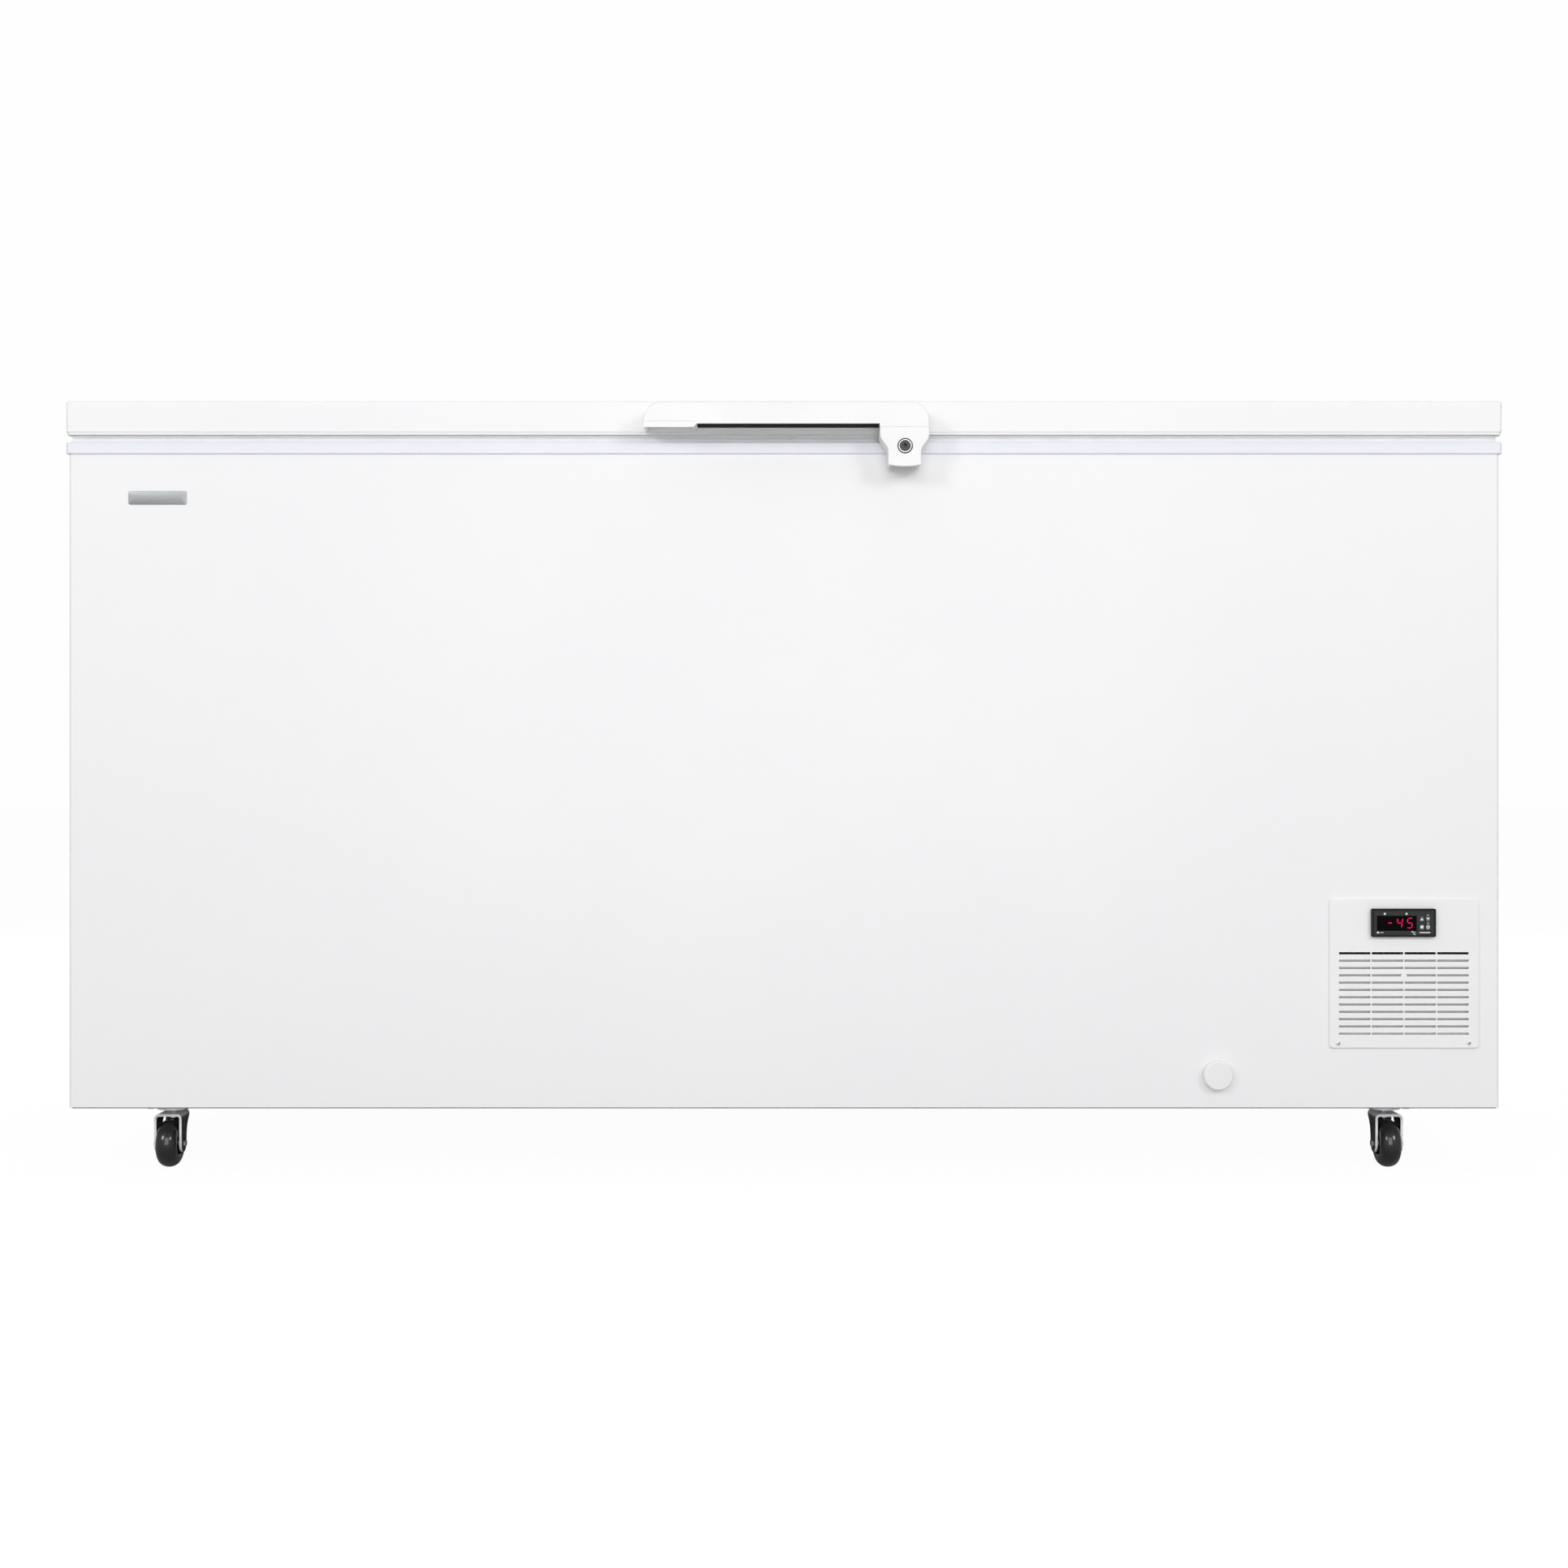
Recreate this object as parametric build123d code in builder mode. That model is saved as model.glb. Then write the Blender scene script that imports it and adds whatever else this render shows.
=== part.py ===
from build123d import *
import os

# Commercial chest freezer on four swivel castors. Millimetres.
# Origin on the floor under the cabinet's centre, +X right, front at -Y, +Z up.

# ---- driving dimensions: the cabinet ----
WIDTH = 1800.0
DEPTH = 670.0
OVERHANG = 3.0
BODY_W = WIDTH - 2 * OVERHANG
BODY_D = DEPTH - 2 * OVERHANG
BODY_BOTTOM = 82.0
BODY_TOP = 903.0
COLLAR_TOP = 917.3
SHEET = 1.0
CORNER = 4.0
BASE_T = 1.5
BASE_FLANGE = 15.0
FIT = 0.2
SMALL_SCREW_R, BIG_SCREW_R, KEEPER_SCREW_R = 1.8, 2.5, 1.6

# ---- the tub inside the cabinet ----
TUB_W = 1574.0
TUB_D = 444.0
TUB_LEFT = -TUB_W / 2
TUB_RIGHT = TUB_W / 2
DEEP_RIGHT = 580.0
DEEP_FLOOR = 185.0
STEP_FLOOR = 450.0
TUB_CORNER = 25.0
TUB_FILLET = 10.0
LINER_T = 1.2
LINER_RIM = 14.0

# ---- the machine bay under the step ----
BAY_LEFT = 645.0
BAY_TOP = 371.0
BAY_RIGHT = BODY_W / 2 - SHEET

# ---- the lid ----
GASKET_Z = 917.6
LID_FRAME_Z = 926.4
LID_SKIN_Z = 930.0
LID_TOP = 968.7
LID_CORNER, LID_ROUND = 4.0, 3.0
PLUG_DROP = 35.0
PLUG_GAP = 12.0

# ---- hinges ----
HINGE_X = (-600.0, 0.0, 600.0)
PIN_Y = 361.0
PIN_Z = 924.0
PIN_R = 4.0
RUN = 0.05
EAR_T = 2.5
EAR_R = 14.0
LID_EAR_R = 12.0
PLATE_T = 2.5

# ---- handle and lock ----
HANDLE_LEFT, HANDLE_RIGHT = -173.4, 179.7
HANDLE_LOW, HANDLE_TOP = 934.0, 961.0
HANDLE_PROUD = 39.0
HANDLE_WALL = 3.0
HANDLE_CORNER = 22.0
CAP_RIGHT, CAP_LOW, CAP_TOP, CAP_BEVEL = -108.0, 929.5, 937.0, 4.0
HANDLE_ROUND, SEAM_BEVEL = 2.0, 0.5
HANDLE_SCREWS = [(x, 950.0) for x in (-140.0, -60.0, 50.0, 150.0)]
LOCK_X, LOCK_Z = 149.5, 906.3
LOCK_TOP = 930.2
LOCK_LEFT = 118.3
KEEPER_SCREWS = ((139.0, 909.0), (152.0, 909.0))
FRONT = -DEPTH / 2
HANDLE_FACE = FRONT - HANDLE_PROUD
LOCK_BACK = FRONT - 2.5

# ---- service panel and controller ----
PANEL_X0, PANEL_X1 = 683.2, 871.2
PANEL_Z0, PANEL_Z1 = 157.5, 345.2
PANEL_T = 3.0
CUT_X0, CUT_X1, CUT_Z0, CUT_Z1 = PANEL_X0 + 6, PANEL_X1 - 6, PANEL_Z0 + 13, PANEL_Z1 - 6
PANEL_SCREWS = ((694.3, 164.0), (857.8, 164.4))
BODY_FRONT = -BODY_D / 2
SLOT_X0, SLOT_X1 = 695.3, 857.7
SLOT_TOP_Z, SLOT_PITCH, SLOT_ROWS, SLOT_H = 276.6, 9.15, 12, 3.0
SLOT_COLUMNS, SLOT_RIB = 4, 1.6
BEZEL_X, BEZEL_Z, BEZEL_W, BEZEL_H, BEZEL_T = 775.0, 315.1, 80.4, 35.5, 6.0
WINDOW_X0, WINDOW_X1, WINDOW_Z0, WINDOW_Z1 = 741.0, 790.8, 305.2, 324.0
BUTTON_X, BUTTON_Z = (797.1, 804.8), (320.0, 310.0)
BUTTON_W, BUTTON_H = 5.8, 7.6
BUTTON_GAP, BUTTON_CORNER, BUTTON_ROUND = 0.35, 0.8, 0.4
BUTTON_INSET, BUTTON_PROUD = 1.3, 0.5

# ---- drain ----
DRAIN_X, DRAIN_Z, DRAIN_Y = 543.2, 124.0, -190.0
DRAIN_R, DRAIN_BORE = 9.0, 7.0
CAP_R = 18.5

# ---- castors ----
CASTOR_X = {"left": -784.0, "right": 770.0}
CASTOR_Y = {"front": -267.0, "rear": 267.0}
TRAIL = 16.0
WHEEL_R, WHEEL_W = 30.0, 24.0
AXLE_R = 4.0
FORK_W, FORK_GAP, CROWN_Z = 35.0, 28.0, 65.0
CASTOR_PLATE_Z = 79.5
CASTOR_PLATE_W, CASTOR_PLATE_D = 60.0, 74.0
CASTOR_HOLE_X, CASTOR_HOLE_Y = 42.0, 56.0
CASTOR_BOLT_R, BOLT_HEAD_R, BOLT_HEAD_T = 3.0, 5.0, 3.5

os.makedirs("parts", exist_ok=True)


def save(builder, node):
    """Labels a finished piece and writes it as its own node."""
    builder.part.label = node
    export_step(builder.part, f"parts/{node}.step")


def rounded_box(x0, x1, y0, y1, z0, z1, corner, bottom=0.0):
    """A box with rounded upright edges and, if asked, a rounded bottom edge."""
    with BuildPart() as block:
        with BuildSketch(Plane.XY.offset(z0)):
            with Locations(((x0 + x1) / 2, (y0 + y1) / 2)):
                RectangleRounded(x1 - x0, y1 - y0, corner)
        extrude(amount=z1 - z0)
        if bottom:
            fillet(block.edges().group_by(Axis.Z)[0], bottom)
    return block.part


def ring(outer_w, outer_d, outer_r, inner_w, inner_d, inner_r, z0, z1):
    """A flat rectangular ring between two heights, centred on the cabinet."""
    with BuildPart() as band:
        with BuildSketch(Plane.XY.offset(z0)):
            RectangleRounded(outer_w, outer_d, outer_r)
            RectangleRounded(inner_w, inner_d, inner_r, mode=Mode.SUBTRACT)
        extrude(amount=z1 - z0)
    return band.part


def stepped_tub(grow):
    """The tub's outline, grown outwards all round: a deep well and a shallow shelf over the bay."""
    half = TUB_D / 2 + grow
    deep = rounded_box(TUB_LEFT - grow, DEEP_RIGHT + grow, -half, half, DEEP_FLOOR - grow,
                       BODY_TOP + LINER_T, TUB_CORNER + grow, TUB_FILLET + grow)
    shelf = rounded_box(TUB_LEFT - grow, TUB_RIGHT + grow, -half, half, STEP_FLOOR - grow,
                        BODY_TOP + LINER_T, TUB_CORNER + grow, TUB_FILLET + grow)
    return deep + shelf


def front_plane(y):
    """A drawing plane facing the front, with x to the right and z up, at depth y."""
    return Plane(origin=(0, y, 0), x_dir=(1, 0, 0), z_dir=(0, -1, 0))


def side_plane(x):
    """A drawing plane facing right, with y across and z up, at x."""
    return Plane(origin=(x, 0, 0), x_dir=(0, 1, 0), z_dir=(1, 0, 0))


# ================= cabinet shell and base =================

# The front and both sides are one sheet folded round the front corners.
with BuildPart() as cabinet_shell:
    with BuildSketch(Plane.XY.offset(BODY_BOTTOM)):
        with BuildLine():
            FilletPolyline(
                (-BODY_W / 2, BODY_D / 2), (-BODY_W / 2, BODY_FRONT),
                (BODY_W / 2, BODY_FRONT), (BODY_W / 2, BODY_D / 2), radius=CORNER)
            Line((BODY_W / 2, BODY_D / 2), (BODY_W / 2 - SHEET, BODY_D / 2))
            FilletPolyline(
                (BODY_W / 2 - SHEET, BODY_D / 2), (BODY_W / 2 - SHEET, BODY_FRONT + SHEET),
                (-BODY_W / 2 + SHEET, BODY_FRONT + SHEET), (-BODY_W / 2 + SHEET, BODY_D / 2),
                radius=CORNER - SHEET)
            Line((-BODY_W / 2 + SHEET, BODY_D / 2), (-BODY_W / 2, BODY_D / 2))
        make_face()
    extrude(amount=BODY_TOP - BODY_BOTTOM)
    with BuildSketch(front_plane(BODY_FRONT + 2 * SHEET)):
        with Locations(((CUT_X0 + CUT_X1) / 2, (CUT_Z0 + CUT_Z1) / 2)):
            RectangleRounded(CUT_X1 - CUT_X0, CUT_Z1 - CUT_Z0, CORNER)
        with Locations((DRAIN_X, DRAIN_Z)):
            Circle(DRAIN_R)
        with Locations(*PANEL_SCREWS):
            Circle(SMALL_SCREW_R)
    extrude(amount=4 * SHEET, mode=Mode.SUBTRACT)
save(cabinet_shell, "cabinet_shell")

GRILLE_X0, GRILLE_X1, GRILLE_Z0, GRILLE_Z1 = 662.0, 884.0, 104.0, 352.0
GRILLE_LAP = 12.0
GRILLE_SCREWS = [(x, z) for x in (GRILLE_X0 + 6, GRILLE_X1 - 6)
                 for z in (GRILLE_Z0 + 6, GRILLE_Z1 - 6)]
HINGE_SCREW_Z = (842.0, 872.0)
HINGE_SCREW_X = 15.0
BACK = BODY_D / 2


def hinge_holes(x):
    """Centres of the four screws that hold one hinge's plate to the back of the cabinet."""
    return [(x + dx, z) for dx in (-HINGE_SCREW_X, HINGE_SCREW_X) for z in HINGE_SCREW_Z]


with BuildPart() as back_panel:
    with BuildSketch(front_plane(BACK)):
        with Locations((0, (BODY_BOTTOM + BODY_TOP) / 2)):
            Rectangle(BODY_W - 2 * SHEET, BODY_TOP - BODY_BOTTOM)
        with Locations(((GRILLE_X0 + GRILLE_X1) / 2, (GRILLE_Z0 + GRILLE_Z1) / 2)):
            Rectangle(GRILLE_X1 - GRILLE_X0 - 2 * GRILLE_LAP,
                      GRILLE_Z1 - GRILLE_Z0 - 2 * GRILLE_LAP, mode=Mode.SUBTRACT)
        with Locations(*GRILLE_SCREWS):
            Circle(SMALL_SCREW_R, mode=Mode.SUBTRACT)
        for x in HINGE_X:
            with Locations(*hinge_holes(x)):
                Circle(BIG_SCREW_R, mode=Mode.SUBTRACT)
    extrude(amount=SHEET)
save(back_panel, "back_panel")

INNER_Y = BACK - SHEET
INNER_FRONT = BODY_FRONT + SHEET


def castor_bolt_points(side):
    """Centres of the castor bolts on one side of the cabinet, front and rear."""
    return [(CASTOR_X[side] + dx, y + dy) for y in CASTOR_Y.values()
            for dx in (-CASTOR_HOLE_X / 2, CASTOR_HOLE_X / 2)
            for dy in (-CASTOR_HOLE_Y / 2, CASTOR_HOLE_Y / 2)]


VENT_LEN, VENT_W, VENT_PITCH, VENT_COUNT = 130.0, 9.0, 24.0, 6


def pan(x0, x1, side, slots):
    """A folded steel pan with upturned edges and bolt holes for one side's castors."""
    with BuildPart() as tray:
        with BuildSketch(Plane.XY.offset(BODY_BOTTOM)):
            with Locations(((x0 + x1) / 2, 0)):
                RectangleRounded(x1 - x0, 2 * INNER_Y - 2 * FIT, CORNER - SHEET)
        extrude(amount=BASE_FLANGE)
        with BuildSketch(Plane.XY.offset(BODY_BOTTOM + BASE_T)):
            with Locations(((x0 + x1) / 2, 0)):
                Rectangle(x1 - x0 - 2 * BASE_T, 2 * (INNER_Y - FIT - BASE_T))
        extrude(amount=BASE_FLANGE, mode=Mode.SUBTRACT)
        with BuildSketch(Plane.XY.offset(BODY_BOTTOM)):
            with Locations(*castor_bolt_points(side)):
                Circle(CASTOR_BOLT_R)
            if slots:
                with GridLocations(0, VENT_PITCH, 1, VENT_COUNT):
                    with Locations(((x0 + x1) / 2, 0)):
                        SlotOverall(VENT_LEN, VENT_W)
        extrude(amount=BASE_T, mode=Mode.SUBTRACT)
    return tray


base_pan = pan(-BODY_W / 2 + SHEET + FIT, BAY_LEFT, "left", False)
save(base_pan, "base_pan")
compressor_tray = pan(BAY_LEFT + FIT, BAY_RIGHT - FIT, "right", True)
save(compressor_tray, "compressor_tray")

# ================= tub, foam and evaporator =================

tub_outer = stepped_tub(LINER_T)
tub_inner = stepped_tub(0.0)
tub_channel = stepped_tub(LINER_T + 0.1)
liner_rim = ring(TUB_W + 2 * (LINER_RIM + LINER_T), TUB_D + 2 * (LINER_RIM + LINER_T),
                 TUB_CORNER + LINER_RIM, TUB_W, TUB_D, TUB_CORNER,
                 BODY_TOP, BODY_TOP + LINER_T)

with BuildPart() as inner_liner:
    add(tub_outer)
    add(tub_inner, mode=Mode.SUBTRACT)
    add(liner_rim)
    with BuildSketch(Plane.XY.offset(DEEP_FLOOR - 2 * LINER_T)):
        with Locations((DRAIN_X, DRAIN_Y)):
            Circle(DRAIN_R)
    extrude(amount=3 * LINER_T, mode=Mode.SUBTRACT)
save(inner_liner, "inner_liner")

PARTITION_T = 1.0
PIPE_R, DRIER_R = 3.2, 10.0
LIQUID_RISE, SUCTION_RISE = (880.0, -130.0), (668.0, 120.0)
with BuildPart() as bay_partition:
    with BuildSketch(Plane.XZ.offset(INNER_Y - FIT)):
        with BuildLine():
            Polyline((BAY_LEFT - PARTITION_T, BODY_BOTTOM + BASE_FLANGE + 1),
                     (BAY_LEFT, BODY_BOTTOM + BASE_FLANGE + 1),
                     (BAY_LEFT, BAY_TOP), (BAY_RIGHT - CORNER, BAY_TOP),
                     (BAY_RIGHT - CORNER, BAY_TOP + PARTITION_T),
                     (BAY_LEFT - PARTITION_T, BAY_TOP + PARTITION_T), close=True)
        make_face()
    extrude(amount=-2 * (INNER_Y - FIT))
    with BuildSketch(Plane.XY.offset(BAY_TOP)):
        with Locations(LIQUID_RISE, SUCTION_RISE):
            Circle(PIPE_R + FIT)
    extrude(amount=PARTITION_T, mode=Mode.SUBTRACT)
save(bay_partition, "bay_partition")

SPOUT_END = BODY_FRONT - 1.5


def spout_run(radius, bore=0.0):
    """The drain's elbow, from the tub's floor down and forward to the front of the cabinet."""
    with BuildPart() as elbow:
        with BuildLine() as path:
            FilletPolyline((DRAIN_X, DRAIN_Y, DEEP_FLOOR), (DRAIN_X, DRAIN_Y, DRAIN_Z),
                           (DRAIN_X, SPOUT_END, DRAIN_Z), radius=25.0)
        with BuildSketch(Plane(origin=path.line @ 0, z_dir=path.line % 0)):
            Circle(radius)
            if bore:
                Circle(bore, mode=Mode.SUBTRACT)
        sweep(path=path.line)
    return elbow.part


# The foam fills everything between the sheets, and stops at the bay's partition.
with BuildPart() as insulation_foam:
    with BuildSketch(Plane.XZ.offset(INNER_Y - FIT)):
        foam_left = -BODY_W / 2 + SHEET + BASE_T + 2 * FIT
        foam_low = BODY_BOTTOM + BASE_T + FIT
        foam_bay = BAY_LEFT - PARTITION_T - FIT - BASE_T
        with BuildLine():
            Polyline((foam_left, foam_low), (foam_bay, foam_low),
                     (foam_bay, BAY_TOP + PARTITION_T + FIT),
                     (BAY_RIGHT - FIT, BAY_TOP + PARTITION_T + FIT),
                     (BAY_RIGHT - FIT, BODY_TOP), (foam_left, BODY_TOP), close=True)
        make_face()
    extrude(amount=-2 * (INNER_Y - FIT))
    add(tub_channel, mode=Mode.SUBTRACT)
    add(spout_run(DRAIN_R + 0.1), mode=Mode.SUBTRACT)
    # room for the base pan's upturned edges
    for side in (-1, 1):
        with BuildSketch(Plane.XY.offset(BODY_BOTTOM)):
            with Locations((0, side * (INNER_Y - BASE_T / 2))):
                Rectangle(BODY_W, BASE_T + 2 * FIT)
        extrude(amount=BASE_FLANGE + FIT, mode=Mode.SUBTRACT)
    # the shell's folded front corners are rounded inside
    for side in (-1, 1):
        with BuildSketch(Plane.XY.offset(BODY_BOTTOM)):
            with Locations((side * BAY_RIGHT, INNER_FRONT)):
                Rectangle(2 * CORNER, 2 * CORNER)
        extrude(amount=BODY_TOP - BODY_BOTTOM, mode=Mode.SUBTRACT)
save(insulation_foam, "insulation_foam")

# One aluminium tube wound round the tub, under the foam, climbing a quarter pitch a side.
TUBE_R = 4.0
COIL_PITCH, COIL_GAP = 90.0, 0.6
COIL_RUNS = {"deep": (DEEP_RIGHT, 215.0, 2), "upper": (TUB_RIGHT, 480.0, 4)}


def coil_points(right, z_low, turns):
    """Corner points of a tube wound round the tub's wall from a given height."""
    out = LINER_T + TUBE_R + COIL_GAP
    x0, x1, y = TUB_LEFT - out, right + out, TUB_D / 2 + out
    points = []
    for turn in range(turns):
        for quarter, (x, yy) in enumerate(((x0, -y), (x1, -y), (x1, y), (x0, y))):
            points.append((x, yy, z_low + COIL_PITCH * (turn + quarter / 4)))
    return points


evaporator_paths = {}
for level, (right, z_low, turns) in COIL_RUNS.items():
    evaporator_paths[level] = coil_points(right, z_low, turns)

with BuildPart() as evaporator_coil:
    for points in evaporator_paths.values():
        with BuildLine() as winding:
            FilletPolyline(*points, radius=TUB_CORNER + TUBE_R)
        with BuildSketch(Plane(origin=winding.line @ 0, z_dir=winding.line % 0)):
            Circle(TUBE_R)
        sweep(path=winding.line)
save(evaporator_coil, "evaporator_coil")

# The collar caps the cabinet's rim: a hollow plastic frame, open underneath.
COLLAR_WALL, COLLAR_BEVEL = 3.0, 1.5
with BuildPart() as top_collar:
    add(ring(WIDTH, DEPTH, CORNER, TUB_W, TUB_D, TUB_CORNER, BODY_TOP, COLLAR_TOP))
    add(ring(BODY_W, BODY_D, CORNER - 1, TUB_W + 2 * COLLAR_WALL, TUB_D + 2 * COLLAR_WALL,
             TUB_CORNER + COLLAR_WALL, BODY_TOP, COLLAR_TOP - COLLAR_WALL), mode=Mode.SUBTRACT)
    add(ring(TUB_W + 4 * COLLAR_WALL, TUB_D + 4 * COLLAR_WALL, TUB_CORNER + COLLAR_WALL,
             TUB_W - 1, TUB_D - 1, TUB_CORNER, BODY_TOP - 1, BODY_TOP + LINER_T),
        mode=Mode.SUBTRACT)
    chamfer(top_collar.edges().group_by(Axis.Z)[-1].filter_by(
        lambda e: abs(e.center().Y) > DEPTH / 2 - CORNER or abs(e.center().X) > WIDTH / 2 - CORNER),
        COLLAR_BEVEL)
    with BuildSketch(front_plane(FRONT + COLLAR_WALL + 1)):
        with Locations(*KEEPER_SCREWS):
            Circle(KEEPER_SCREW_R)
    extrude(amount=COLLAR_WALL + 2, mode=Mode.SUBTRACT)
save(top_collar, "top_collar")

# ================= lid =================

LID_SCREW_Z, LID_SCREW_X = 952.0, 12.0


def lid_hinge_holes(x):
    """Centres of the two screws that hold one hinge's plate to the back of the lid."""
    return [(x - LID_SCREW_X, LID_SCREW_Z), (x + LID_SCREW_X, LID_SCREW_Z)]


with BuildPart() as lid_skin:
    add(rounded_box(-WIDTH / 2, WIDTH / 2, -DEPTH / 2, DEPTH / 2, LID_SKIN_Z, LID_TOP, LID_CORNER))
    fillet(lid_skin.edges().group_by(Axis.Z)[-1], LID_ROUND)
    add(rounded_box(-WIDTH / 2 + SHEET, WIDTH / 2 - SHEET, -DEPTH / 2 + SHEET, DEPTH / 2 - SHEET,
                    LID_SKIN_Z - 1, LID_TOP - SHEET, LID_CORNER - SHEET), mode=Mode.SUBTRACT)
    with BuildSketch(front_plane(FRONT + 2 * SHEET)):
        with Locations(*HANDLE_SCREWS):
            Circle(BIG_SCREW_R)
    extrude(amount=3 * SHEET, mode=Mode.SUBTRACT)
    with BuildSketch(front_plane(DEPTH / 2 + SHEET)):
        for x in HINGE_X:
            with Locations(*lid_hinge_holes(x)):
                Circle(BIG_SCREW_R)
    extrude(amount=3 * SHEET, mode=Mode.SUBTRACT)
save(lid_skin, "lid_skin")

FRAME_RIM = 1.0
FRAME_HOLE_W, FRAME_HOLE_D, FRAME_HOLE_R = 1700.0, 570.0, 10.0
with BuildPart() as lid_frame:
    add(ring(WIDTH - 2 * FRAME_RIM, DEPTH - 2 * FRAME_RIM, LID_CORNER, FRAME_HOLE_W, FRAME_HOLE_D,
             FRAME_HOLE_R, LID_FRAME_Z, LID_SKIN_Z))
save(lid_frame, "lid_frame")

PLUG_X = TUB_W / 2 - PLUG_GAP
PLUG_Y = TUB_D / 2 - PLUG_GAP
PLUG_LOW = COLLAR_TOP - PLUG_DROP
LID_LINER_T = 2.0
PLUG_CORNER, PLUG_ROUND = 20.0, 8.0
LINER_FLANGE_X, LINER_FLANGE_Y = FRAME_HOLE_W / 2 - 0.5, FRAME_HOLE_D / 2 - 0.5


def lid_plug(shrink, z_top):
    """The lid's inner bulge, which drops into the mouth of the tub."""
    return rounded_box(-PLUG_X + shrink, PLUG_X - shrink, -PLUG_Y + shrink, PLUG_Y - shrink,
                       PLUG_LOW + shrink, z_top, PLUG_CORNER, PLUG_ROUND)


with BuildPart() as lid_liner:
    add(rounded_box(-LINER_FLANGE_X, LINER_FLANGE_X, -LINER_FLANGE_Y, LINER_FLANGE_Y,
                    LID_FRAME_Z, LID_FRAME_Z + LID_LINER_T, FRAME_HOLE_R))
    add(lid_plug(0.0, LID_FRAME_Z))
    add(lid_plug(LID_LINER_T, LID_SKIN_Z), mode=Mode.SUBTRACT)
save(lid_liner, "lid_liner")

FOAM_INSET = 1.5
with BuildPart() as lid_foam:
    add(rounded_box(-WIDTH / 2 + SHEET + FIT, WIDTH / 2 - SHEET - FIT, -DEPTH / 2 + SHEET + FIT,
                    DEPTH / 2 - SHEET - FIT, LID_SKIN_Z + FIT, LID_TOP - SHEET - FIT, LID_CORNER))
    add(rounded_box(-LINER_FLANGE_X + FOAM_INSET, LINER_FLANGE_X - FOAM_INSET,
                    -LINER_FLANGE_Y + FOAM_INSET, LINER_FLANGE_Y - FOAM_INSET,
                    LID_FRAME_Z + LID_LINER_T + FIT, LID_SKIN_Z + 2 * FIT, FRAME_HOLE_R))
    add(lid_plug(LID_LINER_T + FIT, LID_SKIN_Z + FIT))
save(lid_foam, "lid_foam")

# The gasket: a flat heel clipped to the lid, a narrow bellows, and the magnet's tube.
TUBE_TOP, HEEL_LOW, GASKET_CORNER = 921.6, 923.6, 6.0
GASKET_LAYERS = {
    "heel": (5.0, 26.0, HEEL_LOW, LID_FRAME_Z),
    "bellows": (7.0, 21.0, TUBE_TOP, HEEL_LOW),
    "magnet_tube": (6.0, 24.0, GASKET_Z, TUBE_TOP),
}
with BuildPart() as lid_gasket:
    for inset, width, z0, z1 in GASKET_LAYERS.values():
        add(ring(WIDTH - 2 * inset, DEPTH - 2 * inset, GASKET_CORNER, WIDTH - 2 * (inset + width),
                 DEPTH - 2 * (inset + width), GASKET_CORNER, z0, z1))
save(lid_gasket, "lid_gasket")

# ================= hinges =================

CAB_EAR_X = 24.0
LID_EAR_X = 19.0
PLATE_HALF = 30.0
CAB_PLATE_LOW, CAB_PLATE_HIGH, CAB_EAR_LOW = 830.0, 888.0, 842.0
LID_PLATE_LOW, LID_PLATE_HIGH, LID_EAR_LOW, LID_EAR_HIGH = 936.0, 964.0, 938.0, 960.0
PIN_HEAD_R, PIN_HEAD_T = PIN_R + 2.0, 2.0


def ear(x0, root_y, z0, z1, radius, bore):
    """A hinge cheek: a round eye joined by straight sides to a root on the bracket's plate."""
    with BuildPart() as cheek:
        with BuildSketch(side_plane(x0)):
            with Locations((PIN_Y, PIN_Z)):
                Circle(radius)
            with Locations((root_y + PLATE_T / 2, (z0 + z1) / 2)):
                Rectangle(PLATE_T, z1 - z0)
            make_hull()
            with Locations((PIN_Y, PIN_Z)):
                Circle(bore, mode=Mode.SUBTRACT)
        extrude(amount=EAR_T)
    return cheek.part


def plate_with_holes(x, y, z0, z1, holes, hole_r):
    """A bracket's flat plate, standing against the cabinet or the lid."""
    with BuildPart() as plate:
        with BuildSketch(front_plane(y + PLATE_T)):
            with Locations((x, (z0 + z1) / 2)):
                RectangleRounded(2 * PLATE_HALF, z1 - z0, 3.0)
            with Locations(*holes):
                Circle(hole_r, mode=Mode.SUBTRACT)
        extrude(amount=PLATE_T)
    return plate.part


with BuildPart() as hinge_cabinet_brackets:
    for x in HINGE_X:
        add(plate_with_holes(x, BACK, CAB_PLATE_LOW, CAB_PLATE_HIGH, hinge_holes(x), BIG_SCREW_R))
        for x0 in (x - CAB_EAR_X - EAR_T, x + CAB_EAR_X):
            add(ear(x0, BACK, CAB_EAR_LOW, CAB_PLATE_HIGH, EAR_R, PIN_R))
save(hinge_cabinet_brackets, "hinge_cabinet_brackets")

with BuildPart() as hinge_lid_brackets:
    for x in HINGE_X:
        add(plate_with_holes(x, DEPTH / 2, LID_PLATE_LOW, LID_PLATE_HIGH, lid_hinge_holes(x), BIG_SCREW_R))
        for x0 in (x - LID_EAR_X - EAR_T, x + LID_EAR_X):
            add(ear(x0, DEPTH / 2, LID_EAR_LOW, LID_EAR_HIGH, LID_EAR_R, PIN_R + RUN))
save(hinge_lid_brackets, "hinge_lid_brackets")

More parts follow.
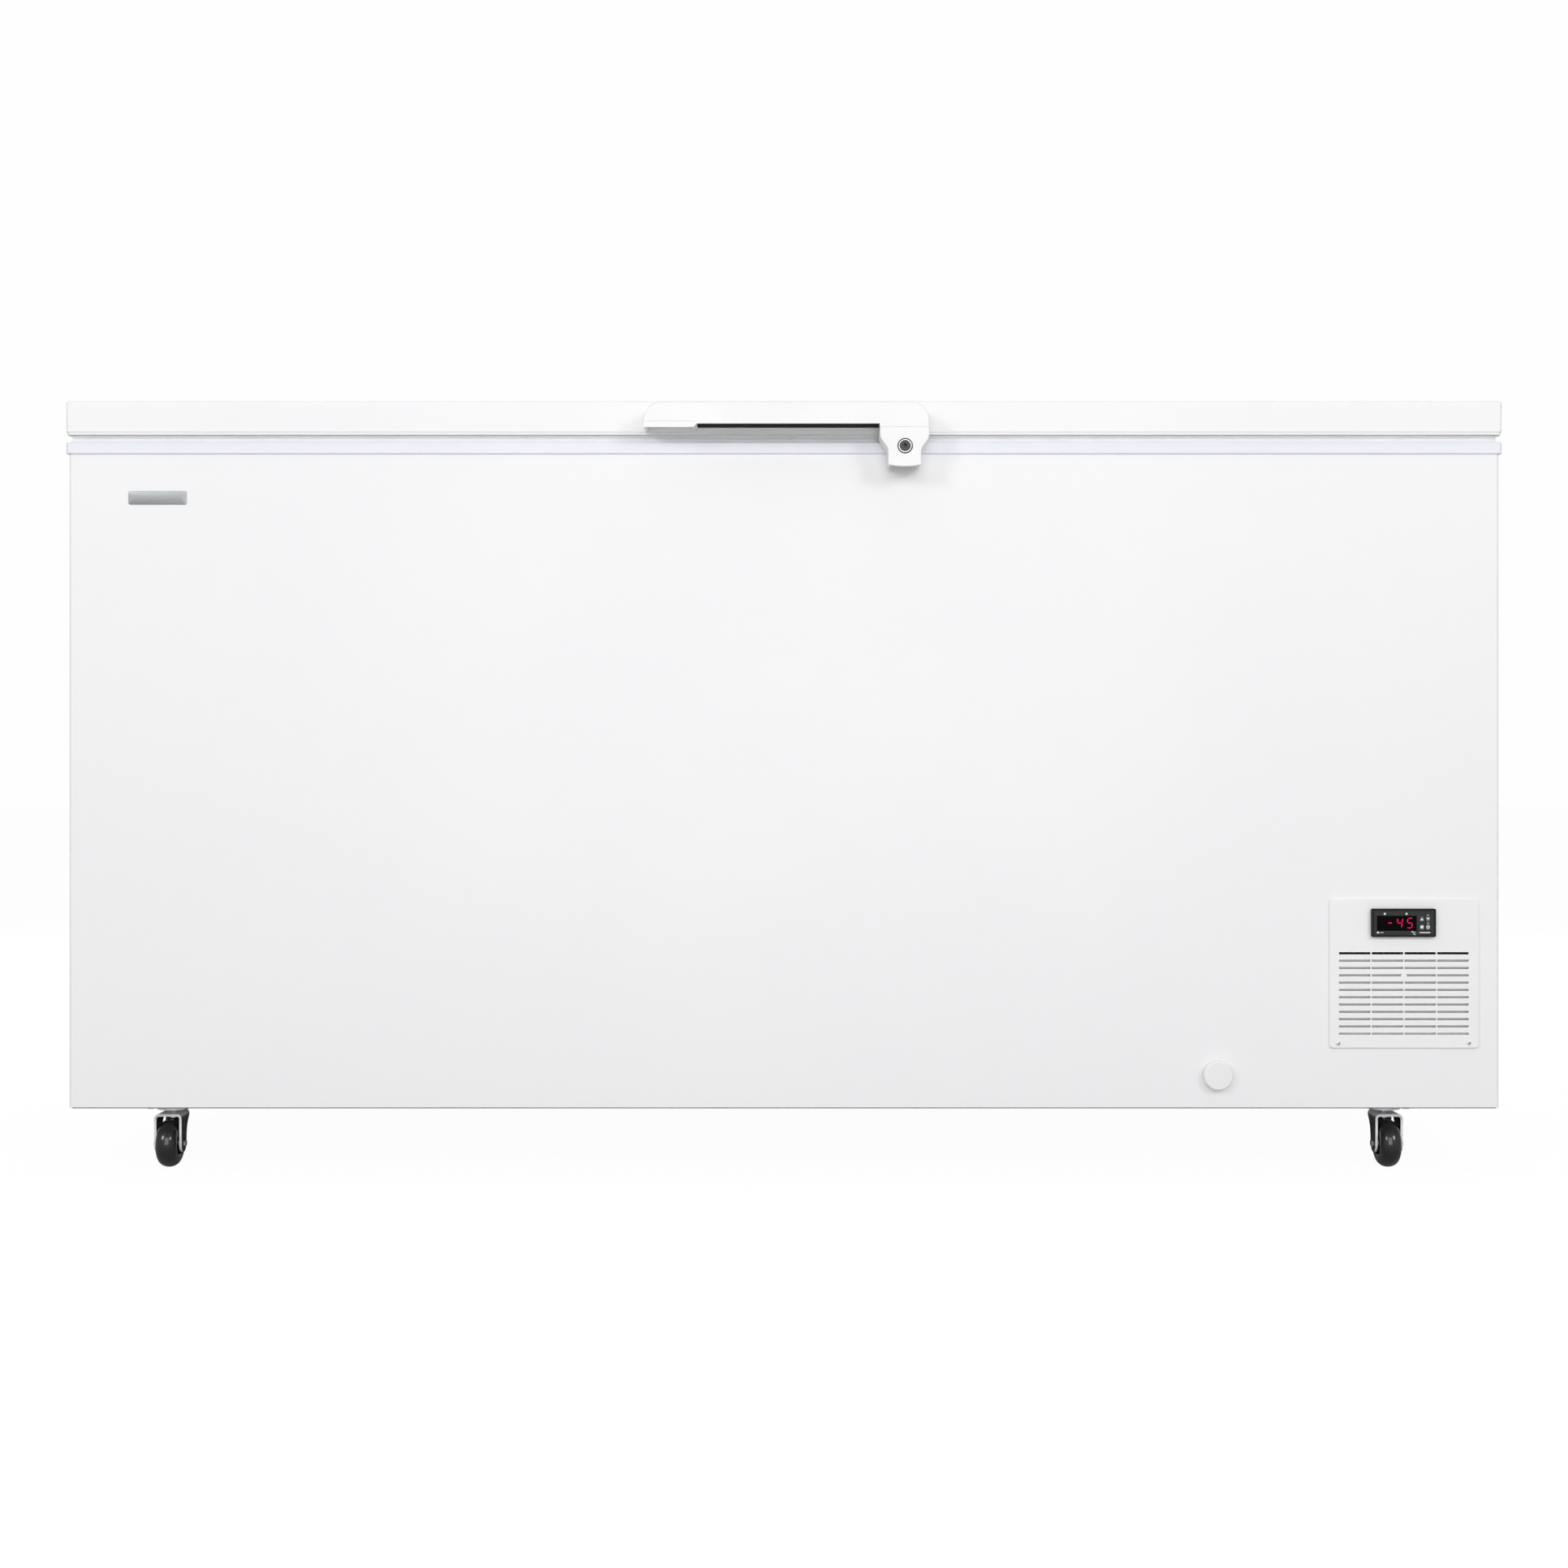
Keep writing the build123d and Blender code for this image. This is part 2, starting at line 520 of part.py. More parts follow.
with BuildPart() as hinge_pins:
    for x in HINGE_X:
        with BuildSketch(side_plane(x - CAB_EAR_X - EAR_T)):
            with Locations((PIN_Y, PIN_Z)):
                Circle(PIN_R)
        extrude(amount=2 * (CAB_EAR_X + EAR_T))
        for x0 in (x - CAB_EAR_X - EAR_T - PIN_HEAD_T, x + CAB_EAR_X + EAR_T):
            with BuildSketch(side_plane(x0)):
                with Locations((PIN_Y, PIN_Z)):
                    Circle(PIN_HEAD_R)
            extrude(amount=PIN_HEAD_T)
save(hinge_pins, "hinge_pins")

# Counterbalance springs: a coil round each pin, between the lid's cheeks.
SPRING_R, SPRING_WIRE, SPRING_PITCH = 7.5, 1.3, 3.6
SPRING_LEN = 32.0
with BuildPart() as hinge_springs:
    for x in HINGE_X:
        with BuildLine() as coil:
            Helix(SPRING_PITCH, SPRING_LEN, SPRING_R,
                  center=(x - SPRING_LEN / 2, PIN_Y, PIN_Z), direction=(1, 0, 0))
        with BuildSketch(Plane(origin=coil.line @ 0, z_dir=coil.line % 0)):
            Circle(SPRING_WIRE)
        sweep(path=coil.line, is_frenet=True)
save(hinge_springs, "hinge_springs")

# ================= handle and lock =================

with BuildPart() as handle_bar:
    with BuildSketch(front_plane(FRONT)):
        with BuildLine():
            Polyline((HANDLE_LEFT, HANDLE_TOP - HANDLE_CORNER), (HANDLE_LEFT, CAP_TOP),
                     (CAP_RIGHT, CAP_TOP), (CAP_RIGHT, HANDLE_LOW), (LOCK_LEFT, HANDLE_LOW),
                     (LOCK_LEFT, LOCK_TOP), (HANDLE_RIGHT, LOCK_TOP),
                     (HANDLE_RIGHT, HANDLE_TOP - HANDLE_CORNER))
            RadiusArc((HANDLE_RIGHT, HANDLE_TOP - HANDLE_CORNER),
                      (HANDLE_RIGHT - HANDLE_CORNER, HANDLE_TOP), -HANDLE_CORNER)
            Line((HANDLE_RIGHT - HANDLE_CORNER, HANDLE_TOP), (HANDLE_LEFT + HANDLE_CORNER, HANDLE_TOP))
            RadiusArc((HANDLE_LEFT + HANDLE_CORNER, HANDLE_TOP),
                      (HANDLE_LEFT, HANDLE_TOP - HANDLE_CORNER), -HANDLE_CORNER)
        make_face()
    extrude(amount=HANDLE_PROUD)
    fillet(handle_bar.edges().group_by(Axis.Y)[0].filter_by(
        lambda e: e.center().Z > CAP_TOP + 0.5), HANDLE_ROUND)
    # the finger hollow, open underneath
    inner_r = HANDLE_CORNER - HANDLE_WALL
    with BuildSketch(front_plane(FRONT - HANDLE_WALL)):
        with BuildLine():
            left, right = HANDLE_LEFT + HANDLE_WALL, HANDLE_RIGHT - HANDLE_WALL
            top = HANDLE_TOP - HANDLE_WALL
            Polyline((left, top - inner_r), (left, CAP_LOW - 2), (right, CAP_LOW - 2),
                     (right, top - inner_r))
            RadiusArc((right, top - inner_r), (right - inner_r, top), -inner_r)
            Line((right - inner_r, top), (left + inner_r, top))
            RadiusArc((left + inner_r, top), (left, top - inner_r), -inner_r)
        make_face()
    extrude(amount=HANDLE_PROUD - 2 * HANDLE_WALL, mode=Mode.SUBTRACT)
    with BuildSketch(front_plane(FRONT)):
        with Locations(*HANDLE_SCREWS):
            Circle(BIG_SCREW_R)
    extrude(amount=HANDLE_WALL, mode=Mode.SUBTRACT)
save(handle_bar, "handle_bar")

with BuildPart() as handle_end_cap:
    with BuildSketch(front_plane(FRONT)):
        with BuildLine():
            Polyline((HANDLE_LEFT, CAP_TOP), (HANDLE_LEFT, CAP_LOW),
                     (CAP_RIGHT - CAP_BEVEL, CAP_LOW), (CAP_RIGHT, CAP_LOW + CAP_BEVEL),
                     (CAP_RIGHT, CAP_TOP), close=True)
        make_face()
    extrude(amount=HANDLE_PROUD)
    # a fine groove marks the seam under the handle bar
    chamfer(handle_end_cap.edges().group_by(Axis.Y)[0].group_by(Axis.Z)[-1], SEAM_BEVEL)
    with BuildSketch(front_plane(FRONT - HANDLE_WALL)):
        with BuildLine():
            wall = HANDLE_WALL
            Polyline((HANDLE_LEFT + wall, CAP_TOP - wall), (HANDLE_LEFT + wall, CAP_LOW - 1),
                     (CAP_RIGHT - wall - 2, CAP_LOW - 1), (CAP_RIGHT - wall - 2, CAP_TOP - wall),
                     close=True)
        make_face()
    extrude(amount=HANDLE_PROUD - 2 * HANDLE_WALL, mode=Mode.SUBTRACT)
save(handle_end_cap, "handle_end_cap")

LOCK_MID = (LOCK_LEFT + HANDLE_RIGHT) / 2
LOCK_HALF_TOP, LOCK_HALF_LOW = HANDLE_RIGHT - LOCK_MID, 20.55
LOCK_SHOULDER_Z, LOCK_NECK_Z, LOCK_LOW_Z, LOCK_TIP_Z = 917.0, 903.0, 883.0, 880.8
LOCK_WAIST_R = 12.0


def lock_outline(inset, top, drop):
    """The lock housing's front outline: wide at the handle, curved in to a narrower tongue."""
    wide, narrow = LOCK_HALF_TOP - inset, LOCK_HALF_LOW - inset
    low = LOCK_LOW_Z - drop
    with BuildLine() as outline:
        Line((LOCK_MID - wide, top), (LOCK_MID + wide, top))
        for side in (1, -1):
            FilletPolyline((LOCK_MID + side * wide, top),
                           (LOCK_MID + side * wide, LOCK_SHOULDER_Z),
                           (LOCK_MID + side * narrow, LOCK_NECK_Z),
                           (LOCK_MID + side * narrow, low), radius=LOCK_WAIST_R)
        ThreePointArc((LOCK_MID + narrow, low), (LOCK_MID, LOCK_TIP_Z - drop),
                      (LOCK_MID - narrow, low))
    return outline.line


BARREL_R, BARREL_FLANGE_R = 8.0, 9.5
LOCK_WALL, LOCK_ROUND = 2.5, 1.5
housing_outer = lock_outline(0.0, LOCK_TOP, 0.0)
housing_hollow = lock_outline(LOCK_WALL, LOCK_TOP - LOCK_WALL, 6.0)
LOCK_DEPTH = LOCK_BACK - HANDLE_FACE
with BuildPart() as lock_housing:
    with BuildSketch(front_plane(LOCK_BACK)):
        add(housing_outer)
        make_face()
    extrude(amount=LOCK_DEPTH)
    fillet(lock_housing.edges().group_by(Axis.Y)[0].filter_by(
        lambda e: e.center().Z < LOCK_TOP - 1), LOCK_ROUND)
    # a fine groove marks the seam under the handle bar
    with BuildSketch(side_plane(LOCK_LEFT)):
        with BuildLine():
            Polyline((HANDLE_FACE, LOCK_TOP), (HANDLE_FACE, LOCK_TOP - SEAM_BEVEL),
                     (HANDLE_FACE + SEAM_BEVEL, LOCK_TOP), close=True)
        make_face()
    extrude(amount=HANDLE_RIGHT - LOCK_LEFT, mode=Mode.SUBTRACT)
    with BuildSketch(front_plane(LOCK_BACK + 1)):
        add(housing_hollow)
        make_face()
    extrude(amount=LOCK_DEPTH - LOCK_WALL + 1, mode=Mode.SUBTRACT)
    with BuildSketch(front_plane(HANDLE_FACE + 2 * LOCK_WALL)):
        with Locations((LOCK_X, LOCK_Z)):
            Circle(BARREL_R)
    extrude(amount=4 * LOCK_WALL, mode=Mode.SUBTRACT)
save(lock_housing, "lock_housing")

# The barrel is a chrome sleeve pushed in from the front. Its plug turns, with the cam behind.
BARREL_BACK = -352.0
LOCK_PLUG_R = 6.0
BARREL_FACE = HANDLE_FACE - 1.0
PLUG_FACE = HANDLE_FACE - 0.6
KEYHOLE_W, KEYHOLE_H, KEYHOLE_R, KEYHOLE_DEPTH = 2.2, 6.8, 2.3, 10.0
with BuildPart() as lock_barrel:
    with BuildSketch(front_plane(BARREL_BACK)):
        with Locations((LOCK_X, LOCK_Z)):
            Circle(BARREL_R)
    extrude(amount=BARREL_BACK - HANDLE_FACE)
    with BuildSketch(front_plane(HANDLE_FACE)):
        with Locations((LOCK_X, LOCK_Z)):
            Circle(BARREL_FLANGE_R)
    extrude(amount=1.0)
    chamfer(lock_barrel.edges().group_by(Axis.Y)[0], 0.5)
    with BuildSketch(front_plane(BARREL_BACK)):
        with Locations((LOCK_X, LOCK_Z)):
            Circle(LOCK_PLUG_R + RUN)
    extrude(amount=BARREL_BACK - BARREL_FACE, mode=Mode.SUBTRACT)
save(lock_barrel, "lock_barrel")

CAM_BACK, CAM_FRONT = -348.5, -351.5
CAM_HUB_R, CAM_HALF, CAM_REACH = 7.0, 4.0, 15.5
with BuildPart() as lock_plug:
    with BuildSketch(front_plane(CAM_FRONT)):
        with Locations((LOCK_X, LOCK_Z)):
            Circle(LOCK_PLUG_R)
    extrude(amount=CAM_FRONT - PLUG_FACE)
    with BuildSketch(front_plane(PLUG_FACE + KEYHOLE_DEPTH)):
        with Locations((LOCK_X, LOCK_Z)):
            Rectangle(KEYHOLE_W, KEYHOLE_H)
            Circle(KEYHOLE_R)
    extrude(amount=KEYHOLE_DEPTH, mode=Mode.SUBTRACT)
save(lock_plug, "lock_plug")

with BuildPart() as lock_cam:
    with BuildSketch(front_plane(CAM_BACK)):
        with Locations((LOCK_X, LOCK_Z)):
            Circle(CAM_HUB_R)
        with Locations((LOCK_X, LOCK_Z - CAM_REACH / 2)):
            Rectangle(2 * CAM_HALF, CAM_REACH)
    extrude(amount=CAM_BACK - CAM_FRONT)
save(lock_cam, "lock_cam")

# The keeper hangs a lip over the locked cam.
KEEPER_X0, KEEPER_X1, KEEPER_T = 134.0, 165.0, 2.0
KEEPER_Z0, KEEPER_Z1, KEEPER_REACH = 904.0, 915.0, 18.0
KEEPER_LIP_X0, KEEPER_LIP_Z0, KEEPER_LIP_Z1 = 158.0, 912.0, 914.5
with BuildPart() as lock_keeper:
    with BuildSketch(front_plane(FRONT)):
        with Locations(((KEEPER_X0 + KEEPER_X1) / 2, (KEEPER_Z0 + KEEPER_Z1) / 2)):
            Rectangle(KEEPER_X1 - KEEPER_X0, KEEPER_Z1 - KEEPER_Z0)
        with Locations(*KEEPER_SCREWS):
            Circle(KEEPER_SCREW_R, mode=Mode.SUBTRACT)
    extrude(amount=KEEPER_T)
    with BuildSketch(front_plane(FRONT)):
        with Locations(((KEEPER_LIP_X0 + KEEPER_X1) / 2, (KEEPER_LIP_Z0 + KEEPER_LIP_Z1) / 2)):
            Rectangle(KEEPER_X1 - KEEPER_LIP_X0, KEEPER_LIP_Z1 - KEEPER_LIP_Z0)
    extrude(amount=KEEPER_REACH)
save(lock_keeper, "lock_keeper")

# ================= service panel and controller =================

PANEL_FACE = BODY_FRONT - PANEL_T
PANEL_CX, PANEL_CZ = (PANEL_X0 + PANEL_X1) / 2, (PANEL_Z0 + PANEL_Z1) / 2
PANEL_W, PANEL_H = PANEL_X1 - PANEL_X0, PANEL_Z1 - PANEL_Z0
SKIRT_DEPTH, SKIRT_T = 16.0, 2.0
SKIRT_W, SKIRT_H = CUT_X1 - CUT_X0 - 2 * FIT, CUT_Z1 - CUT_Z0 - 2 * FIT
SKIRT_CZ = (CUT_Z0 + CUT_Z1) / 2
WINDOW_CUT_W, WINDOW_CUT_H = 71.0, 29.0
LOUVRE_T, LOUVRE_RUN = 1.2, 6.0
BOSS_ROW, BOSS_R, BOSS_PROUD = 3, 3.5, 0.6
PANEL_CORNER, PANEL_ROUND, SKIRT_CORNER = 5.0, 1.5, 4.0
SLOT_CX = (SLOT_X0 + SLOT_X1) / 2
SLOT_SPAN = SLOT_X1 - SLOT_X0
SLOT_W = (SLOT_SPAN - (SLOT_COLUMNS - 1) * SLOT_RIB) / SLOT_COLUMNS
ROW_Z = [SLOT_TOP_Z - row * SLOT_PITCH for row in range(SLOT_ROWS)]

with BuildPart() as service_panel:
    with BuildSketch(front_plane(BODY_FRONT)):
        with Locations((PANEL_CX, PANEL_CZ)):
            RectangleRounded(PANEL_W, PANEL_H, PANEL_CORNER)
    extrude(amount=PANEL_T)
    fillet(service_panel.edges().group_by(Axis.Y)[0], PANEL_ROUND)
    with BuildSketch(front_plane(BODY_FRONT + SKIRT_DEPTH)):
        with Locations((PANEL_CX, SKIRT_CZ)):
            RectangleRounded(SKIRT_W, SKIRT_H, SKIRT_CORNER)
            RectangleRounded(SKIRT_W - 2 * SKIRT_T, SKIRT_H - 2 * SKIRT_T, SKIRT_CORNER - SKIRT_T,
                             mode=Mode.SUBTRACT)
    extrude(amount=SKIRT_DEPTH)
    with BuildSketch(front_plane(BODY_FRONT + 1)):
        for z in ROW_Z:
            for column in range(SLOT_COLUMNS):
                x = SLOT_X0 + SLOT_W / 2 + column * (SLOT_W + SLOT_RIB)
                with Locations((x, z)):
                    Rectangle(SLOT_W, SLOT_H)
        with Locations((BEZEL_X, BEZEL_Z)):
            Rectangle(WINDOW_CUT_W, WINDOW_CUT_H)
        with Locations(*PANEL_SCREWS):
            Circle(SMALL_SCREW_R)
    extrude(amount=PANEL_T + 2, mode=Mode.SUBTRACT)
    # louvres slope down behind every slot but the first
    for z in ROW_Z[1:]:
        with BuildSketch(side_plane(SLOT_X0 - 1)):
            top = z + SLOT_H / 2
            with BuildLine():
                Polyline((BODY_FRONT - 0.5, top + LOUVRE_T), (BODY_FRONT + LOUVRE_RUN, top - LOUVRE_RUN),
                         (BODY_FRONT + LOUVRE_RUN, top - LOUVRE_RUN - LOUVRE_T),
                         (BODY_FRONT - 0.5, top), close=True)
            make_face()
        extrude(amount=SLOT_SPAN + 2)
    # a round boss stiffens the middle of the fourth row
    with BuildSketch(front_plane(BODY_FRONT)):
        with Locations((SLOT_CX, ROW_Z[BOSS_ROW])):
            Circle(BOSS_R)
    extrude(amount=PANEL_T + BOSS_PROUD)
save(service_panel, "service_panel")

BEZEL_CORNER, BEZEL_ROUND = 2.0, 1.0
WINDOW_W, WINDOW_H = WINDOW_X1 - WINDOW_X0, WINDOW_Z1 - WINDOW_Z0
WINDOW_AT = ((WINDOW_X0 + WINDOW_X1) / 2, (WINDOW_Z0 + WINDOW_Z1) / 2)
with BuildPart() as controller_bezel:
    with BuildSketch(front_plane(PANEL_FACE)):
        with Locations((BEZEL_X, BEZEL_Z)):
            RectangleRounded(BEZEL_W, BEZEL_H, BEZEL_CORNER)
    extrude(amount=BEZEL_T)
    fillet(controller_bezel.edges().group_by(Axis.Y)[0], BEZEL_ROUND)
    with BuildSketch(front_plane(PANEL_FACE)):
        with Locations(WINDOW_AT):
            Rectangle(WINDOW_W, WINDOW_H)
        with Locations(*[(x, z) for x in BUTTON_X for z in BUTTON_Z]):
            Rectangle(BUTTON_W + 2 * BUTTON_GAP, BUTTON_H + 2 * BUTTON_GAP)
    extrude(amount=BEZEL_T, mode=Mode.SUBTRACT)
save(controller_bezel, "controller_bezel")

CASE_W, CASE_H, CASE_CORNER, CASE_BACK = 70.4, 28.4, 1.5, -280.0
with BuildPart() as controller_body:
    with BuildSketch(front_plane(CASE_BACK)):
        with Locations((BEZEL_X, BEZEL_Z)):
            RectangleRounded(CASE_W, CASE_H, CASE_CORNER)
    extrude(amount=CASE_BACK - PANEL_FACE)
save(controller_body, "controller_body")

WINDOW_SET = 0.5
with BuildPart() as display_window:
    with BuildSketch(front_plane(PANEL_FACE)):
        with Locations(WINDOW_AT):
            Rectangle(WINDOW_W, WINDOW_H)
    extrude(amount=BEZEL_T - WINDOW_SET)
save(display_window, "display_window")

# Seven-segment figures reading minus forty-five, leaning a little to the right.
DIGIT_H, DIGIT_W, DIGIT_Z, STROKE, LEAN = 13.4, 7.4, 315.0, 1.25, 0.12
SEGMENTS = {
    "top": ((0, 1), (1, 1)), "middle": ((0, 0.5), (1, 0.5)), "bottom": ((0, 0), (1, 0)),
    "upper_left": ((0, 0.5), (0, 1)), "upper_right": ((1, 0.5), (1, 1)),
    "lower_left": ((0, 0), (0, 0.5)), "lower_right": ((1, 0), (1, 0.5)),
}
FIGURES = {
    757.6: ("middle",),
    769.6: ("upper_left", "upper_right", "middle", "lower_right"),
    782.3: ("top", "upper_left", "middle", "lower_right", "bottom"),
}
WINDOW_FACE = PANEL_FACE - BEZEL_T + WINDOW_SET
STROKE_GAP, DIGIT_T = 0.6, 0.15


def stroke_points(x, name):
    """The six corners of one lit segment, pointed at both ends and leaning with the figure."""
    (u0, v0), (u1, v1) = SEGMENTS[name]
    span_x, span_z, half = DIGIT_W - STROKE, DIGIT_H - STROKE, STROKE / 2
    flat = v0 == v1
    x0, x1 = x + (u0 - 0.5) * span_x, x + (u1 - 0.5) * span_x
    z0, z1 = DIGIT_Z + (v0 - 0.5) * span_z, DIGIT_Z + (v1 - 0.5) * span_z
    if flat:
        x0, x1 = x0 + STROKE_GAP, x1 - STROKE_GAP
        corners = [(x0, z0), (x0 + half, z0 + half), (x1 - half, z0 + half),
                   (x1, z0), (x1 - half, z0 - half), (x0 + half, z0 - half)]
    else:
        z0, z1 = z0 + STROKE_GAP, z1 - STROKE_GAP
        corners = [(x0, z0), (x0 - half, z0 + half), (x0 - half, z1 - half),
                   (x0, z1), (x0 + half, z1 - half), (x0 + half, z0 + half)]
    return [(cx + LEAN * (cz - DIGIT_Z), cz) for cx, cz in corners]


with BuildPart() as display_digits:
    for x, names in FIGURES.items():
        for name in names:
            with BuildSketch(front_plane(WINDOW_FACE)):
                with BuildLine():
                    Polyline(*stroke_points(x, name), close=True)
                make_face()
            extrude(amount=DIGIT_T)
save(display_digits, "display_digits")

# ================= drain =================

with BuildPart() as drain_spout:
    add(spout_run(DRAIN_R, DRAIN_BORE))
save(drain_spout, "drain_spout")

CAP_FRONT, CAP_BACK = BODY_FRONT - 10.0, BODY_FRONT - 0.3
CAP_ROUND, CAP_WALL, CAP_HOLLOW, CAP_BUNG = 2.5, 2.5, 6.0, 8.0
with BuildPart() as drain_cap:
    with BuildSketch(front_plane(CAP_BACK)):
        with Locations((DRAIN_X, DRAIN_Z)):
            Circle(CAP_R)
    extrude(amount=CAP_BACK - CAP_FRONT)
    fillet(drain_cap.edges().group_by(Axis.Y)[0], CAP_ROUND)
    with BuildSketch(front_plane(CAP_BACK)):
        with Locations((DRAIN_X, DRAIN_Z)):
            Circle(CAP_R - CAP_WALL)
    extrude(amount=CAP_HOLLOW, mode=Mode.SUBTRACT)
    with BuildSketch(front_plane(BODY_FRONT + CAP_BUNG)):
        with Locations((DRAIN_X, DRAIN_Z)):
            Circle(DRAIN_BORE - RUN)
    extrude(amount=CAP_BUNG + 8.0)
save(drain_cap, "drain_cap")

INNER_PLUG_LAYERS = {
    "stopper": (DRAIN_BORE - RUN, -12.0, 0.4),
    "flange": (12.0, 0.4, 3.0),
    "knob": (4.0, 3.0, 15.0),
}
with BuildPart() as inner_drain_plug:
    for radius, low, high in INNER_PLUG_LAYERS.values():
        with BuildSketch(Plane.XY.offset(DEEP_FLOOR + low)):
            with Locations((DRAIN_X, DRAIN_Y)):
                Circle(radius)
        extrude(amount=high - low)
save(inner_drain_plug, "inner_drain_plug")

# ================= refrigeration in the machine bay =================

COND_X0, COND_X1, COND_Z0, COND_Z1 = 676.0, 846.0, 108.0, 300.0
COND_Y = (-247.0, -217.0)
COND_TUBE_R, COND_BEND, COND_BEND_OUT = 4.75, 14.5, 18.0
COND_LEVELS = [122.0 + 32.0 * i for i in range(6)]
FIN_T, FIN_COUNT, FIN_DEPTH = 0.6, 24, 60.0

coil_corners = []
for y, levels in ((COND_Y[0], COND_LEVELS), (COND_Y[1], COND_LEVELS[::-1])):
    for i, z in enumerate(levels):
        ends = (COND_X1 + COND_BEND_OUT, COND_X0 - COND_BEND_OUT)
        coil_corners += [(ends[i % 2], y, z), (ends[1 - i % 2], y, z)]
with BuildPart() as condenser_coil:
    with BuildLine() as serpentine:
        FilletPolyline(*coil_corners, radius=COND_BEND)
    with BuildSketch(Plane(origin=serpentine.line @ 0, z_dir=serpentine.line % 0)):
        Circle(COND_TUBE_R)
    sweep(path=serpentine.line)
save(condenser_coil, "condenser_coil")

with BuildPart() as condenser_fins:
    for i in range(FIN_COUNT):
        x = COND_X0 + (COND_X1 - COND_X0 - FIN_T) * i / (FIN_COUNT - 1)
        with BuildSketch(side_plane(x)):
            with Locations((sum(COND_Y) / 2, (COND_Z0 + COND_Z1) / 2)):
                Rectangle(FIN_DEPTH, COND_Z1 - COND_Z0)
            with Locations(*[(y, z) for y in COND_Y for z in COND_LEVELS]):
                Circle(COND_TUBE_R, mode=Mode.SUBTRACT)
        extrude(amount=FIN_T)
save(condenser_fins, "condenser_fins")

FAN_X, FAN_Z, FAN_Y = 761.0, 204.0, -181.0
SHROUD_FRONT, SHROUD_BACK, SHROUD_T = -200.0, -168.0, 2.0
SHAFT_R, FAN_HUB_R, FAN_REACH, FAN_MOUTH_R = 3.0, 20.0, 74.0, 79.0
FAN_HALF = 9.0
RAIL_W = 12.0
ARM_DEPTH, ARM_W, ARM_SPAN = 9.8, 8.0, 60.0
MOTOR_R, MOTOR_FRONT, MOTOR_BACK = 28.0, -160.0, -115.0
with BuildPart() as fan_shroud:
    with BuildSketch(front_plane(SHROUD_BACK)):
        with Locations((FAN_X, FAN_Z)):
            Rectangle(COND_X1 - COND_X0 + 6, COND_Z1 - COND_Z0)
    extrude(amount=SHROUD_BACK - SHROUD_FRONT)
    with BuildSketch(front_plane(SHROUD_BACK - SHROUD_T)):
        with Locations((FAN_X, FAN_Z)):
            Rectangle(COND_X1 - COND_X0 + 2, COND_Z1 - COND_Z0 - 4)
    extrude(amount=SHROUD_BACK - SHROUD_FRONT, mode=Mode.SUBTRACT)
    with BuildSketch(front_plane(SHROUD_BACK)):
        with Locations((FAN_X, FAN_Z)):
            Circle(FAN_MOUTH_R)
    extrude(amount=SHROUD_T, mode=Mode.SUBTRACT)
    # two rails to the floor carry the shroud and the condenser
    for x in (COND_X0 + 6, COND_X1 - 6):
        with BuildSketch(Plane.XY.offset(BODY_BOTTOM + BASE_T)):
            with Locations((x, SHROUD_BACK - 1)):
                Rectangle(RAIL_W, SHROUD_T)
        extrude(amount=COND_Z0 - BODY_BOTTOM)
save(fan_shroud, "fan_shroud")

with BuildPart() as fan_motor:
    with BuildSketch(front_plane(MOTOR_BACK)):
        with Locations((FAN_X, FAN_Z)):
            Circle(MOTOR_R)
    extrude(amount=MOTOR_BACK - MOTOR_FRONT)
    fillet(fan_motor.edges(), 3.0)
    with BuildSketch(front_plane(MOTOR_FRONT)):
        with Locations((FAN_X, FAN_Z)):
            Circle(SHAFT_R)
    extrude(amount=MOTOR_FRONT - (FAN_Y - FAN_HALF))
    # three arms bolt the motor to the back of the shroud
    for turn in (90, 210, 330):
        arm = Vector(1, 0, 0).rotate(Axis.Y, turn)
        with BuildSketch(Plane(origin=Vector(FAN_X, SHROUD_BACK + 5, FAN_Z) + arm * (MOTOR_R - 4),
                               x_dir=(0, 1, 0), z_dir=arm)):
            Rectangle(ARM_DEPTH, ARM_W)
        extrude(amount=ARM_SPAN)
save(fan_motor, "fan_motor")

BLADES, BLADE_CHORD, BLADE_T, BLADE_TILT = 5, 38.0, 2.0, 28.0
with BuildPart() as fan_blade:
    with BuildSketch(front_plane(FAN_Y + FAN_HALF)):
        with Locations((FAN_X, FAN_Z)):
            Circle(FAN_HUB_R)
    extrude(amount=2 * FAN_HALF)
    for blade in range(BLADES):
        reach = Vector(1, 0, 0).rotate(Axis.Y, 360 / BLADES * blade)
        with BuildSketch(Plane(origin=Vector(FAN_X, FAN_Y, FAN_Z) + reach * (FAN_HUB_R - 4),
                               x_dir=(0, 1, 0), z_dir=reach)):
            Rectangle(BLADE_T, BLADE_CHORD, rotation=BLADE_TILT)
        extrude(amount=FAN_REACH - FAN_HUB_R + 4)
    with BuildSketch(front_plane(FAN_Y + FAN_HALF)):
        with Locations((FAN_X, FAN_Z)):
            Circle(SHAFT_R + RUN)
    extrude(amount=2 * FAN_HALF, mode=Mode.SUBTRACT)
save(fan_blade, "fan_blade")

